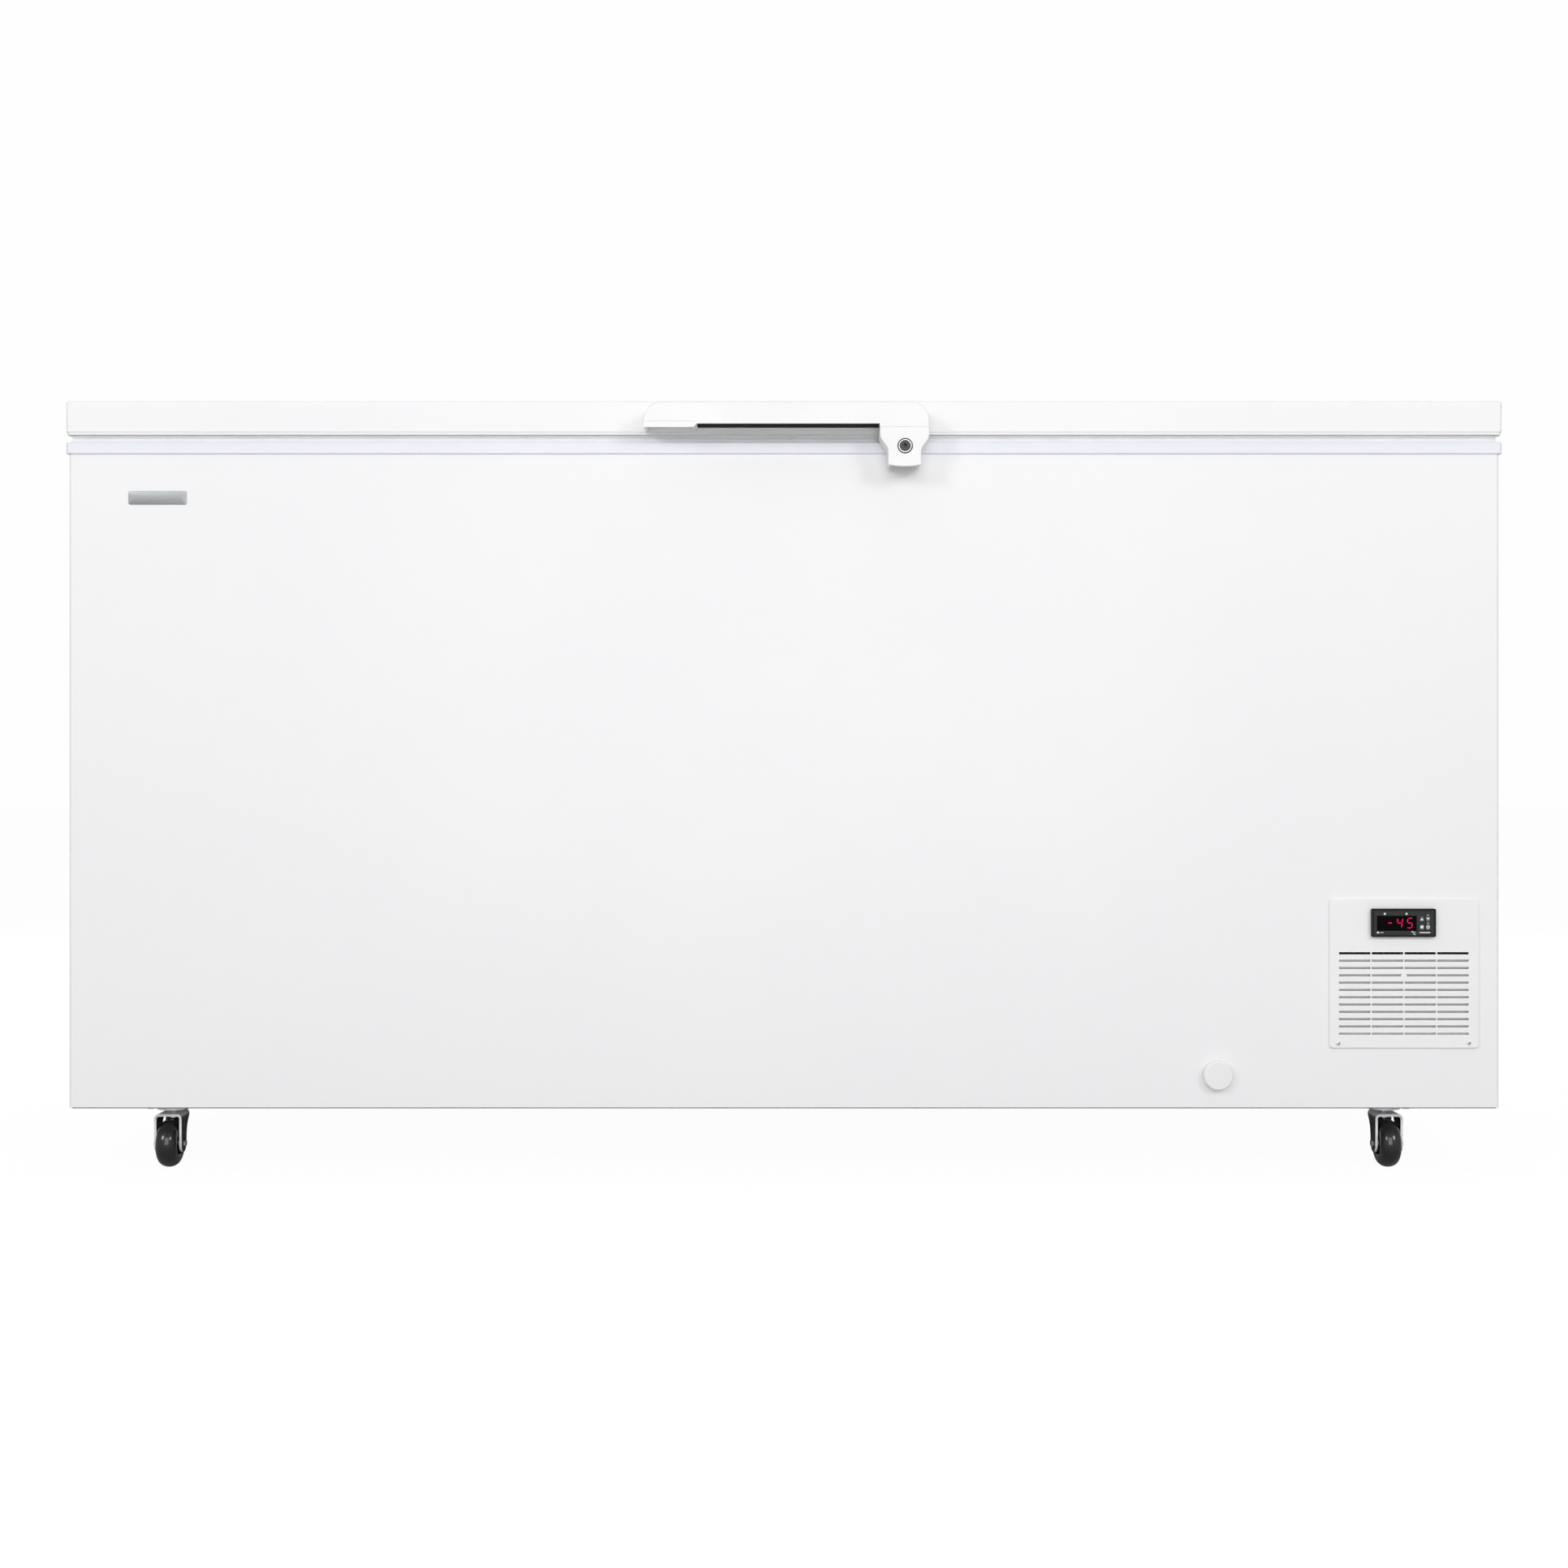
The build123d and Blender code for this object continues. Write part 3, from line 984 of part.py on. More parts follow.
POT_X, POT_Y, POT_R, POT_LOW, POT_TOP = 765.0, 90.0, 78.0, 100.0, 275.0
POT_ROUND_LOW, POT_ROUND_TOP = 25.0, 35.0
SEAM_Z, SEAM_H, SEAM_LIP = 190.0, 5.0, 5.0
GROMMET_R, GROMMET_LOW, FOOT_LOW = 9.0, BODY_BOTTOM + BASE_T, 97.5
FOOT_W, FOOT_D, FOOT_CORNER = 156.0, 122.0, 12.0
GROMMETS = [(POT_X + dx, POT_Y + dy) for dx in (-65, 65) for dy in (-48, 48)]
with BuildPart() as compressor_shell:
    with BuildSketch(Plane(origin=(POT_X, POT_Y, 0), x_dir=(1, 0, 0), z_dir=(0, -1, 0))):
        with BuildLine():
            low_in, low_up = POT_R - POT_ROUND_LOW, POT_LOW + POT_ROUND_LOW
            top_in, top_down = POT_R - POT_ROUND_TOP, POT_TOP - POT_ROUND_TOP
            Polyline((0, POT_TOP), (0, POT_LOW), (low_in, POT_LOW))
            RadiusArc((low_in, POT_LOW), (POT_R, low_up), -POT_ROUND_LOW)
            Polyline((POT_R, low_up), (POT_R, SEAM_Z), (POT_R + SEAM_LIP, SEAM_Z),
                     (POT_R + SEAM_LIP, SEAM_Z + SEAM_H), (POT_R, SEAM_Z + SEAM_H), (POT_R, top_down))
            RadiusArc((POT_R, top_down), (top_in, POT_TOP), -POT_ROUND_TOP)
            Line((top_in, POT_TOP), (0, POT_TOP))
        make_face()
    revolve(axis=Axis((POT_X, POT_Y, 0), (0, 0, 1)))
    with BuildSketch(Plane.XY.offset(FOOT_LOW)):
        with Locations((POT_X, POT_Y)):
            RectangleRounded(FOOT_W, FOOT_D, FOOT_CORNER)
    extrude(amount=POT_LOW - FOOT_LOW + 0.5)
save(compressor_shell, "compressor_shell")

with BuildPart() as compressor_mounts:
    with BuildSketch(Plane.XY.offset(GROMMET_LOW)):
        with Locations(*GROMMETS):
            Circle(GROMMET_R)
    extrude(amount=FOOT_LOW - GROMMET_LOW)
save(compressor_mounts, "compressor_mounts")

TERMINAL_X0, TERMINAL_X1 = POT_X - POT_R - 30.0, POT_X - POT_R - 5.5
TERMINAL_HALF, TERMINAL_LOW, TERMINAL_TOP = 32.0, 140.0, 215.0
SADDLE_REACH, SADDLE_W, SADDLE_LOW, SADDLE_H = 6.0, 20.0, 150.0, 30.0
with BuildPart() as terminal_box:
    add(rounded_box(TERMINAL_X0, TERMINAL_X1, POT_Y - TERMINAL_HALF, POT_Y + TERMINAL_HALF,
                    TERMINAL_LOW, TERMINAL_TOP, CORNER))
    # a saddle reaches the pot between its seam and its foot
    with BuildSketch(Plane.XY.offset(SADDLE_LOW)):
        with Locations((POT_X - POT_R - SADDLE_REACH / 2, POT_Y)):
            Rectangle(SADDLE_REACH, SADDLE_W)
        with Locations((POT_X, POT_Y)):
            Circle(POT_R, mode=Mode.SUBTRACT)
    extrude(amount=SADDLE_H)
save(terminal_box, "terminal_box")

COND_END, COND_LOW_Z, PIPE_TOP = COND_X1 + COND_BEND_OUT, COND_LEVELS[0], 384.0
DISCHARGE_X, DISCHARGE_Y, DISCHARGE_Z, SUCTION_Z = 873.0, -160.0, 220.0, 240.0
DRIER_LOW, DRIER_H = 200.0, 62.0
PIPE_RUNS = {
    "discharge": ((POT_X + 60, POT_Y, DISCHARGE_Z), (DISCHARGE_X, POT_Y, DISCHARGE_Z),
                  (DISCHARGE_X, DISCHARGE_Y, DISCHARGE_Z), (DISCHARGE_X, DISCHARGE_Y, COND_LOW_Z),
                  (DISCHARGE_X, COND_Y[0], COND_LOW_Z), (COND_END, COND_Y[0], COND_LOW_Z)),
    "liquid": ((COND_END, COND_Y[1], COND_LOW_Z), (LIQUID_RISE[0], COND_Y[1], COND_LOW_Z),
               (*LIQUID_RISE, COND_LOW_Z), (*LIQUID_RISE, PIPE_TOP)),
    "suction": ((POT_X - 60, SUCTION_RISE[1], SUCTION_Z), (*SUCTION_RISE, SUCTION_Z),
                (*SUCTION_RISE, PIPE_TOP)),
}
PIPE_BENDS = {"discharge": 6.0, "liquid": 7.0, "suction": 16.0}
with BuildPart() as refrigerant_pipes:
    for run, points in PIPE_RUNS.items():
        with BuildLine() as pipe:
            FilletPolyline(*points, radius=PIPE_BENDS[run])
        with BuildSketch(Plane(origin=pipe.line @ 0, z_dir=pipe.line % 0)):
            Circle(PIPE_R)
        sweep(path=pipe.line)
    with BuildSketch(Plane.XY.offset(DRIER_LOW)):
        with Locations(LIQUID_RISE):
            Circle(DRIER_R)
    extrude(amount=DRIER_H)
save(refrigerant_pipes, "refrigerant_pipes")

# ================= rear grille and cord gland =================

GRILLE_T, GRILLE_CORNER = 1.5, 4.0
GRILLE_SLOT_LEN, GRILLE_SLOT_W, GRILLE_RAISE = 76.0, 6.0, 14.0
GRILLE_PITCH_X, GRILLE_PITCH_Z, GRILLE_ROWS = 86.0, 13.0, 13
GRILLE_FACE = BACK + GRILLE_T
GLAND_X, GLAND_Z, GLAND_BORE = 692.0, 134.0, 4.5
GLAND_R, GLAND_NUT_R, GLAND_NUT_T, GLAND_NECK_R = 9.0, 12.5, 3.0, 7.5
GLAND_IN, GLAND_OUT = BACK - 12.0, BACK + 14.0
GRILLE_CX, GRILLE_CZ = (GRILLE_X0 + GRILLE_X1) / 2, (GRILLE_Z0 + GRILLE_Z1) / 2
with BuildPart() as rear_grille:
    with BuildSketch(front_plane(GRILLE_FACE)):
        with Locations((GRILLE_CX, GRILLE_CZ)):
            RectangleRounded(GRILLE_X1 - GRILLE_X0, GRILLE_Z1 - GRILLE_Z0, GRILLE_CORNER)
            with GridLocations(GRILLE_PITCH_X, GRILLE_PITCH_Z, 2, GRILLE_ROWS):
                with Locations((0, GRILLE_RAISE)):
                    SlotOverall(GRILLE_SLOT_LEN, GRILLE_SLOT_W, mode=Mode.SUBTRACT)
        with Locations((GLAND_X, GLAND_Z)):
            Circle(GLAND_R, mode=Mode.SUBTRACT)
        with Locations(*GRILLE_SCREWS):
            Circle(SMALL_SCREW_R, mode=Mode.SUBTRACT)
    extrude(amount=GRILLE_T)
save(rear_grille, "rear_grille")

with BuildPart() as cord_gland:
    for radius, y0, y1 in ((GLAND_R, GLAND_IN, GRILLE_FACE),
                           (GLAND_NUT_R, GRILLE_FACE, GRILLE_FACE + GLAND_NUT_T),
                           (GLAND_NECK_R, GRILLE_FACE + GLAND_NUT_T, GLAND_OUT)):
        with BuildSketch(front_plane(y1)):
            with Locations((GLAND_X, GLAND_Z)):
                Circle(radius)
        extrude(amount=y1 - y0)
    with BuildSketch(front_plane(GLAND_OUT)):
        with Locations((GLAND_X, GLAND_Z)):
            Circle(GLAND_BORE)
    extrude(amount=GLAND_OUT - GLAND_IN, mode=Mode.SUBTRACT)
save(cord_gland, "cord_gland")

# ================= screws =================


def screws(plane, points, head_r, head_t, shank_r, shank_len):
    """Pan-head screws driven in against a face: heads outside the plane, shanks behind it."""
    with BuildPart() as group:
        with BuildSketch(plane):
            with Locations(*points):
                Circle(head_r)
        extrude(amount=head_t)
        with BuildSketch(plane):
            with Locations(*points):
                Circle(shank_r)
        extrude(amount=-shank_len)
    return group.part


def rear_plane(y):
    """A drawing plane facing the rear, seen from behind, so its own x runs to the left."""
    return Plane(origin=(0, y, 0), x_dir=(-1, 0, 0), z_dir=(0, 1, 0))


def mirrored(points):
    """Points of the cabinet given in a rear plane's own x."""
    return [(-x, z) for x, z in points]


# head radius, head height, shank radius and shank length
PANEL_SCREW = (2.75, 1.5, SMALL_SCREW_R, 12.0)
KEEPER_SCREW = (2.6, 0.4, KEEPER_SCREW_R, 6.0)
GRILLE_SCREW = (3.5, 2.0, SMALL_SCREW_R, 8.0)
HINGE_SCREW = (4.5, 2.5, BIG_SCREW_R, 18.0)
HANDLE_SCREW = (4.0, 2.5, BIG_SCREW_R, 18.0)
LID_HINGE_SCREW = (4.0, 2.5, BIG_SCREW_R, 16.0)

with BuildPart() as cabinet_screws:
    add(screws(front_plane(PANEL_FACE), PANEL_SCREWS, *PANEL_SCREW))
    add(screws(front_plane(FRONT - KEEPER_T), KEEPER_SCREWS, *KEEPER_SCREW))
    add(screws(rear_plane(GRILLE_FACE), mirrored(GRILLE_SCREWS), *GRILLE_SCREW))
    for x in HINGE_X:
        add(screws(rear_plane(BACK + PLATE_T), mirrored(hinge_holes(x)), *HINGE_SCREW))
save(cabinet_screws, "cabinet_screws")

with BuildPart() as lid_screws:
    add(screws(front_plane(FRONT - HANDLE_WALL), HANDLE_SCREWS, *HANDLE_SCREW))
    for x in HINGE_X:
        add(screws(rear_plane(DEPTH / 2 + PLATE_T), mirrored(lid_hinge_holes(x)), *LID_HINGE_SCREW))
save(lid_screws, "lid_screws")

# ================= castors =================

KINGPIN_R, KINGPIN_LOW, RACE_LOW, RACE_R, CROWN_TOP = 5.0, 62.2, 72.0, 21.0, 71.7
KINGPIN_HEAD_R, KINGPIN_HEAD_LOW, KINGPIN_HEAD_TOP = 9.0, 61.0, 64.7
castor_spots = {f"{end}_{side}": (CASTOR_X[side], CASTOR_Y[end])
                for end in ("front", "rear") for side in ("left", "right")}
castor_holes = [(dx * CASTOR_HOLE_X / 2, dy * CASTOR_HOLE_Y / 2) for dx in (-1, 1) for dy in (-1, 1)]

with BuildPart() as castor_plates:
    for cx, cy in castor_spots.values():
        with BuildSketch(Plane.XY.offset(CASTOR_PLATE_Z)):
            with Locations((cx, cy)):
                RectangleRounded(CASTOR_PLATE_W, CASTOR_PLATE_D, 5.0)
            with Locations(*[(cx + dx, cy + dy) for dx, dy in castor_holes]):
                Circle(CASTOR_BOLT_R, mode=Mode.SUBTRACT)
        extrude(amount=BODY_BOTTOM - CASTOR_PLATE_Z)
        for radius, z0, z1 in ((RACE_R, RACE_LOW, CASTOR_PLATE_Z), (KINGPIN_R, KINGPIN_LOW, RACE_LOW),
                               (KINGPIN_HEAD_R, KINGPIN_HEAD_LOW, KINGPIN_HEAD_TOP)):
            with BuildSketch(Plane.XY.offset(z0)):
                with Locations((cx, cy)):
                    Circle(radius)
            extrude(amount=z1 - z0)
save(castor_plates, "castor_plates")

with BuildPart() as castor_bolts:
    for cx, cy in castor_spots.values():
        spots = [(cx + dx, cy + dy) for dx, dy in castor_holes]
        with BuildSketch(Plane.XY.offset(CASTOR_PLATE_Z - BOLT_HEAD_T)):
            with Locations(*spots):
                RegularPolygon(BOLT_HEAD_R, 6)
        extrude(amount=BOLT_HEAD_T)
        with BuildSketch(Plane.XY.offset(CASTOR_PLATE_Z)):
            with Locations(*spots):
                Circle(CASTOR_BOLT_R)
        extrude(amount=BODY_BOTTOM + BASE_T - CASTOR_PLATE_Z)
save(castor_bolts, "castor_bolts")

LEG_T = (FORK_W - FORK_GAP) / 2
LEG_R, LEG_DEPTH, CROWN_T = 11.5, 41.0, 3.0
FOLD_T, FOLD_LOW = 2.0, 53.0
AXLE_NUT_R, AXLE_NUT_T = 7.0, 4.0
HUB_R, HUB_W, TYRE_ROUND = 20.0, FORK_GAP - 1.0, 9.5
WHEEL_Z = WHEEL_R
for spot, (cx, cy) in castor_spots.items():
    axle_y = cy - TRAIL
    leg_front = axle_y - LEG_R
    with BuildPart() as fork:
        with BuildSketch(Plane.XY.offset(CROWN_Z)):
            with Locations((cx, leg_front + LEG_DEPTH / 2)):
                RectangleRounded(FORK_W, LEG_DEPTH, 3.0)
            with Locations((cx, cy)):
                Circle(FORK_W / 2 + 2)
        extrude(amount=CROWN_T)
        with BuildSketch(Plane.XY.offset(CROWN_Z)):
            with Locations((cx, cy)):
                Circle(FORK_W / 2)
        extrude(amount=CROWN_TOP - CROWN_Z)
        for x0 in (cx - FORK_W / 2, cx + FORK_GAP / 2):
            with BuildSketch(side_plane(x0)):
                with Locations((axle_y, WHEEL_Z)):
                    Circle(LEG_R)
                with Locations((leg_front + LEG_DEPTH / 2, CROWN_Z)):
                    Rectangle(LEG_DEPTH, 4.0)
                make_hull()
                with Locations((axle_y, WHEEL_Z)):
                    Circle(AXLE_R, mode=Mode.SUBTRACT)
            extrude(amount=LEG_T)
        # the crown's rear edge is folded down behind the wheel
        with BuildSketch(Plane.XY.offset(FOLD_LOW)):
            with Locations((cx, leg_front + LEG_DEPTH - FOLD_T / 2)):
                Rectangle(FORK_GAP, FOLD_T)
        extrude(amount=CROWN_Z - FOLD_LOW)
        with BuildSketch(Plane.XY.offset(CROWN_Z - CROWN_T)):
            with Locations((cx, cy)):
                Circle(KINGPIN_R + RUN)
        extrude(amount=CROWN_TOP - CROWN_Z + CROWN_T, mode=Mode.SUBTRACT)
    with BuildPart() as axle:
        for radius, x0, x1 in ((AXLE_R, cx - FORK_W / 2, cx + FORK_W / 2),
                               (AXLE_NUT_R, cx - FORK_W / 2 - AXLE_NUT_T, cx - FORK_W / 2),
                               (AXLE_NUT_R, cx + FORK_W / 2, cx + FORK_W / 2 + AXLE_NUT_T)):
            with BuildSketch(side_plane(x0)):
                with Locations((axle_y, WHEEL_Z)):
                    Circle(radius)
            extrude(amount=x1 - x0)
    fork_set = Compound(children=[fork.part.solid(), axle.part.solid()])
    fork_set.label = f"castor_fork_{spot}"
    export_step(fork_set, f"parts/castor_fork_{spot}.step")
    with BuildPart() as wheel:
        with BuildSketch(Plane(origin=(cx, axle_y, WHEEL_Z), x_dir=(1, 0, 0), z_dir=(0, -1, 0))):
            with Locations((0, (WHEEL_R + AXLE_R + RUN) / 2)):
                wheel_face = Rectangle(WHEEL_W, WHEEL_R - AXLE_R - RUN)
            fillet(wheel_face.vertices().group_by(Axis.Y)[-1], TYRE_ROUND)
            with Locations((0, HUB_R / 2)):
                Rectangle(HUB_W, HUB_R)
            with Locations((0, 0)):
                Rectangle(FORK_GAP, 2 * (AXLE_R + RUN), mode=Mode.SUBTRACT)
        revolve(axis=Axis((cx, axle_y, WHEEL_Z), (1, 0, 0)))
    save(wheel, f"castor_wheel_{spot}")

# ================= controller buttons =================

for row, z in zip(("top", "low"), BUTTON_Z):
    for column, x in zip(("left", "right"), BUTTON_X):
        with BuildPart() as button:
            with BuildSketch(front_plane(PANEL_FACE - BUTTON_INSET)):
                with Locations((x, z)):
                    RectangleRounded(BUTTON_W, BUTTON_H, BUTTON_CORNER)
            extrude(amount=BEZEL_T - BUTTON_INSET + BUTTON_PROUD)
            fillet(button.edges().group_by(Axis.Y)[0], BUTTON_ROUND)
        save(button, f"button_{row}_{column}")
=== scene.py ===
import math

import bmesh
import bpy
import numpy as np
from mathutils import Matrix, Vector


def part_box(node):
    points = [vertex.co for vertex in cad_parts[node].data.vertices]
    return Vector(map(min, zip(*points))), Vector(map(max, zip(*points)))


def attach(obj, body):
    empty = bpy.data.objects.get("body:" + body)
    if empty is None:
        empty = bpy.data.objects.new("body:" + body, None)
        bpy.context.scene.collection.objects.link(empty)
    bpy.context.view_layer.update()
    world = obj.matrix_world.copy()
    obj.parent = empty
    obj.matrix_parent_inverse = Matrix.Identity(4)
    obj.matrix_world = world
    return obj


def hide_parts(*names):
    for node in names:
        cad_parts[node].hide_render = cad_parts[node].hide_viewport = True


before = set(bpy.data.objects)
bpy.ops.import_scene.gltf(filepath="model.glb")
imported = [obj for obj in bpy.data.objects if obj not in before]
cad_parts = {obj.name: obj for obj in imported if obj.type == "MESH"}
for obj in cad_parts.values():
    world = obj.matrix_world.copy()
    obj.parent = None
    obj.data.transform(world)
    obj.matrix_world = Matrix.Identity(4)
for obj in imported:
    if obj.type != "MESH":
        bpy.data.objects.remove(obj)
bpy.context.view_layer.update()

# ================= camera and studio =================
# A long lens looks square at the front from half the freezer's height, as for a catalogue.
# The lens is a little above the middle of the picture, which the small shift allows for.
CAMERA_AWAY = 2.600
CAMERA_Z = 0.500
LENS_MM = 47.6
FRAMING_SHIFT = -0.00575
SENSOR_MM = 36.0
cabinet_low, cabinet_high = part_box("cabinet_shell")
lens = bpy.data.cameras.new("catalogue_lens")
lens.lens = LENS_MM
lens.sensor_width = SENSOR_MM
lens.shift_y = FRAMING_SHIFT
camera = bpy.data.objects.new("catalogue_camera", lens)
camera.location = (0.0, cabinet_low.y - CAMERA_AWAY, CAMERA_Z)
camera.rotation_euler = (math.radians(90), 0.0, 0.0)
bpy.context.scene.collection.objects.link(camera)
bpy.context.scene.camera = camera
bpy.context.scene.view_settings.view_transform = "Standard"


def studio_white(name, seen, bounced, shading):
    """A stage material that the lens sees nearly white, while it bounces less light back up."""
    paper = bpy.data.materials.new(name)
    paper.use_nodes = True
    nodes, links = paper.node_tree.nodes, paper.node_tree.links
    nodes.clear()
    path = nodes.new("ShaderNodeLightPath")
    lit = nodes.new("ShaderNodeEmission")
    lit.inputs["Color"].default_value = (1.0, 1.0, 1.0, 1.0)
    lit.inputs["Strength"].default_value = seen
    shaded = nodes.new("ShaderNodeBsdfDiffuse")
    shaded.inputs["Color"].default_value = (shading, shading, shading, 1.0)
    bright = nodes.new("ShaderNodeAddShader")
    dim = nodes.new("ShaderNodeBsdfDiffuse")
    dim.inputs["Color"].default_value = (bounced, bounced, bounced, 1.0)
    chosen = nodes.new("ShaderNodeMixShader")
    out = nodes.new("ShaderNodeOutputMaterial")
    links.new(lit.outputs[0], bright.inputs[0])
    links.new(shaded.outputs[0], bright.inputs[1])
    links.new(path.outputs["Is Camera Ray"], chosen.inputs[0])
    links.new(dim.outputs[0], chosen.inputs[1])
    links.new(bright.outputs[0], chosen.inputs[2])
    links.new(chosen.outputs[0], out.inputs["Surface"])
    return paper


FLOOR_HALF = 30.0
FLOOR_SEEN, FLOOR_BOUNCED, FLOOR_SHADING = 0.965, 0.55, 0.04
floor_mesh = bpy.data.meshes.new("studio_floor")
floor_corners = [(-FLOOR_HALF, -FLOOR_HALF, 0.0), (FLOOR_HALF, -FLOOR_HALF, 0.0),
                 (FLOOR_HALF, FLOOR_HALF, 0.0), (-FLOOR_HALF, FLOOR_HALF, 0.0)]
floor_mesh.from_pydata(floor_corners, [], [(0, 1, 2, 3)])
studio_floor = bpy.data.objects.new("studio_floor", floor_mesh)
bpy.context.scene.collection.objects.link(studio_floor)
floor_paper = studio_white("floor_paper", FLOOR_SEEN, FLOOR_BOUNCED, FLOOR_SHADING)
studio_floor.data.materials.append(floor_paper)

# The room is white to the lens and a soft grey to the freezer, so that edges keep their shading.
ROOM_GREY, ROOM_SEEN = 0.42, 0.99
room = bpy.data.worlds.new("studio_room")
room.use_nodes = True
room_nodes, room_links = room.node_tree.nodes, room.node_tree.links
room_nodes.clear()
room_path = room_nodes.new("ShaderNodeLightPath")
room_seen = room_nodes.new("ShaderNodeBackground")
room_seen.inputs["Strength"].default_value = ROOM_SEEN
room_seen.inputs["Color"].default_value = (1.0, 1.0, 1.0, 1.0)
room_light = room_nodes.new("ShaderNodeBackground")
room_light.inputs["Color"].default_value = (1.0, 1.0, 1.0, 1.0)
room_light.inputs["Strength"].default_value = ROOM_GREY
room_mix = room_nodes.new("ShaderNodeMixShader")
room_out = room_nodes.new("ShaderNodeOutputWorld")
room_links.new(room_path.outputs["Is Camera Ray"], room_mix.inputs[0])
room_links.new(room_light.outputs[0], room_mix.inputs[1])
room_links.new(room_seen.outputs[0], room_mix.inputs[2])
room_links.new(room_mix.outputs[0], room_out.inputs["Surface"])
bpy.context.scene.world = room


def softbox(name, place, aim, size, power):
    """A square soft light at a place, turned to face a point."""
    lamp = bpy.data.lights.new(name, "AREA")
    lamp.shape = "SQUARE"
    lamp.size = size
    lamp.energy = power
    holder = bpy.data.objects.new(name, lamp)
    holder.location = place
    away = np.array(aim) - np.array(place)
    pitch = math.atan2(math.hypot(away[0], away[1]), -away[2])
    holder.rotation_euler = (pitch, 0.0, math.atan2(-away[0], away[1]))
    bpy.context.scene.collection.objects.link(holder)


softbox("softbox_front", (0.0, -4.6, 1.45), (0.0, -0.3, 0.8), 2.7, 61.5)
softbox("softbox_front_left", (-2.6, -3.4, 2.3), (-0.3, -0.3, 0.6), 1.0, 36.0)
softbox("softbox_front_right", (2.6, -3.4, 2.3), (0.3, -0.3, 0.6), 1.0, 36.0)
softbox("softbox_overhead", (0.0, -0.6, 3.6), (0.0, -0.2, 0.5), 2.6, 13.0)
softbox("softbox_rear_left", (-2.4, 3.2, 2.0), (0.0, 0.3, 0.5), 1.8, 40.0)
softbox("softbox_rear_right", (2.4, 3.2, 2.0), (0.0, 0.3, 0.5), 1.8, 40.0)

# ================= cabinet =================
# The outer case is folded from pre-painted sheet steel, in one wrap round the front and sides.
# Its enamel is a satin white with a faint orange peel, and the floor pan is bare zinc-coated steel.


def effect(name, inputs, outputs):
    """An empty shader node group with these named sockets, and its two end nodes."""
    tree = bpy.data.node_groups.new(name, "ShaderNodeTree")
    for label, kind in inputs.items():
        tree.interface.new_socket(label, in_out="INPUT", socket_type="NodeSocket" + kind)
    for label, kind in outputs.items():
        tree.interface.new_socket(label, in_out="OUTPUT", socket_type="NodeSocket" + kind)
    return tree, tree.nodes.new("NodeGroupInput"), tree.nodes.new("NodeGroupOutput")


def noise(tree, place, scale, detail):
    """Soft noise on the piece's own coordinates, about one blob per 1/scale metres."""
    cloud = tree.nodes.new("ShaderNodeTexNoise")
    cloud.inputs["Detail"].default_value = detail
    tree.links.new(place, cloud.inputs["Vector"])
    tree.links.new(scale, cloud.inputs["Scale"])
    return cloud.outputs["Fac"]


def spread(tree, value, low, high, to_low, to_high):
    """Stretches a value from one range to another; the far range may be two sockets or numbers."""
    stretch = tree.nodes.new("ShaderNodeMapRange")
    stretch.inputs["From Min"].default_value = low
    stretch.inputs["From Max"].default_value = high
    tree.links.new(value, stretch.inputs["Value"])
    for label, end in (("To Min", to_low), ("To Max", to_high)):
        if isinstance(end, (int, float)):
            stretch.inputs[label].default_value = end
        else:
            tree.links.new(end, stretch.inputs[label])
    return stretch.outputs["Result"]


def blend_colours(tree, share, first, second):
    """Mixes two colours by a share from 0 to 1."""
    mix = tree.nodes.new("ShaderNodeMix")
    mix.data_type = "RGBA"
    tree.links.new(share, mix.inputs["Factor"])
    for socket, colour in ((mix.inputs[6], first), (mix.inputs[7], second)):
        tree.links.new(colour, socket)
    return mix.outputs[2]


SKIN_IN = {"Colour": "Color", "Patch Colour": "Color", "Smooth": "Float", "Rough": "Float",
           "Patch Scale": "Float", "Grain Scale": "Float"}
SKIN_OUT = {"Colour": "Color", "Roughness": "Float", "Height": "Float"}
PATCH_RANGE, SHEEN_RANGE, LINE_RANGE = (0.35, 0.65), (0.3, 0.7), (0.35, 0.7)
PATCH_DETAIL, GRAIN_DETAIL = 3.0, 2.0
satin_skin, skin_in, skin_out = effect("satin_skin", SKIN_IN, SKIN_OUT)
skin_place = satin_skin.nodes.new("ShaderNodeTexCoord").outputs["Object"]
skin_patch = noise(satin_skin, skin_place, skin_in.outputs["Patch Scale"], PATCH_DETAIL)
skin_grain = noise(satin_skin, skin_place, skin_in.outputs["Grain Scale"], GRAIN_DETAIL)
skin_share = spread(satin_skin, skin_patch, *PATCH_RANGE, 0.0, 1.0)
skin_colour = blend_colours(satin_skin, skin_share, skin_in.outputs["Colour"],
                            skin_in.outputs["Patch Colour"])
skin_rough = spread(satin_skin, skin_patch, *SHEEN_RANGE, skin_in.outputs["Smooth"],
                    skin_in.outputs["Rough"])
satin_skin.links.new(skin_colour, skin_out.inputs["Colour"])
satin_skin.links.new(skin_rough, skin_out.inputs["Roughness"])
satin_skin.links.new(skin_grain, skin_out.inputs["Height"])


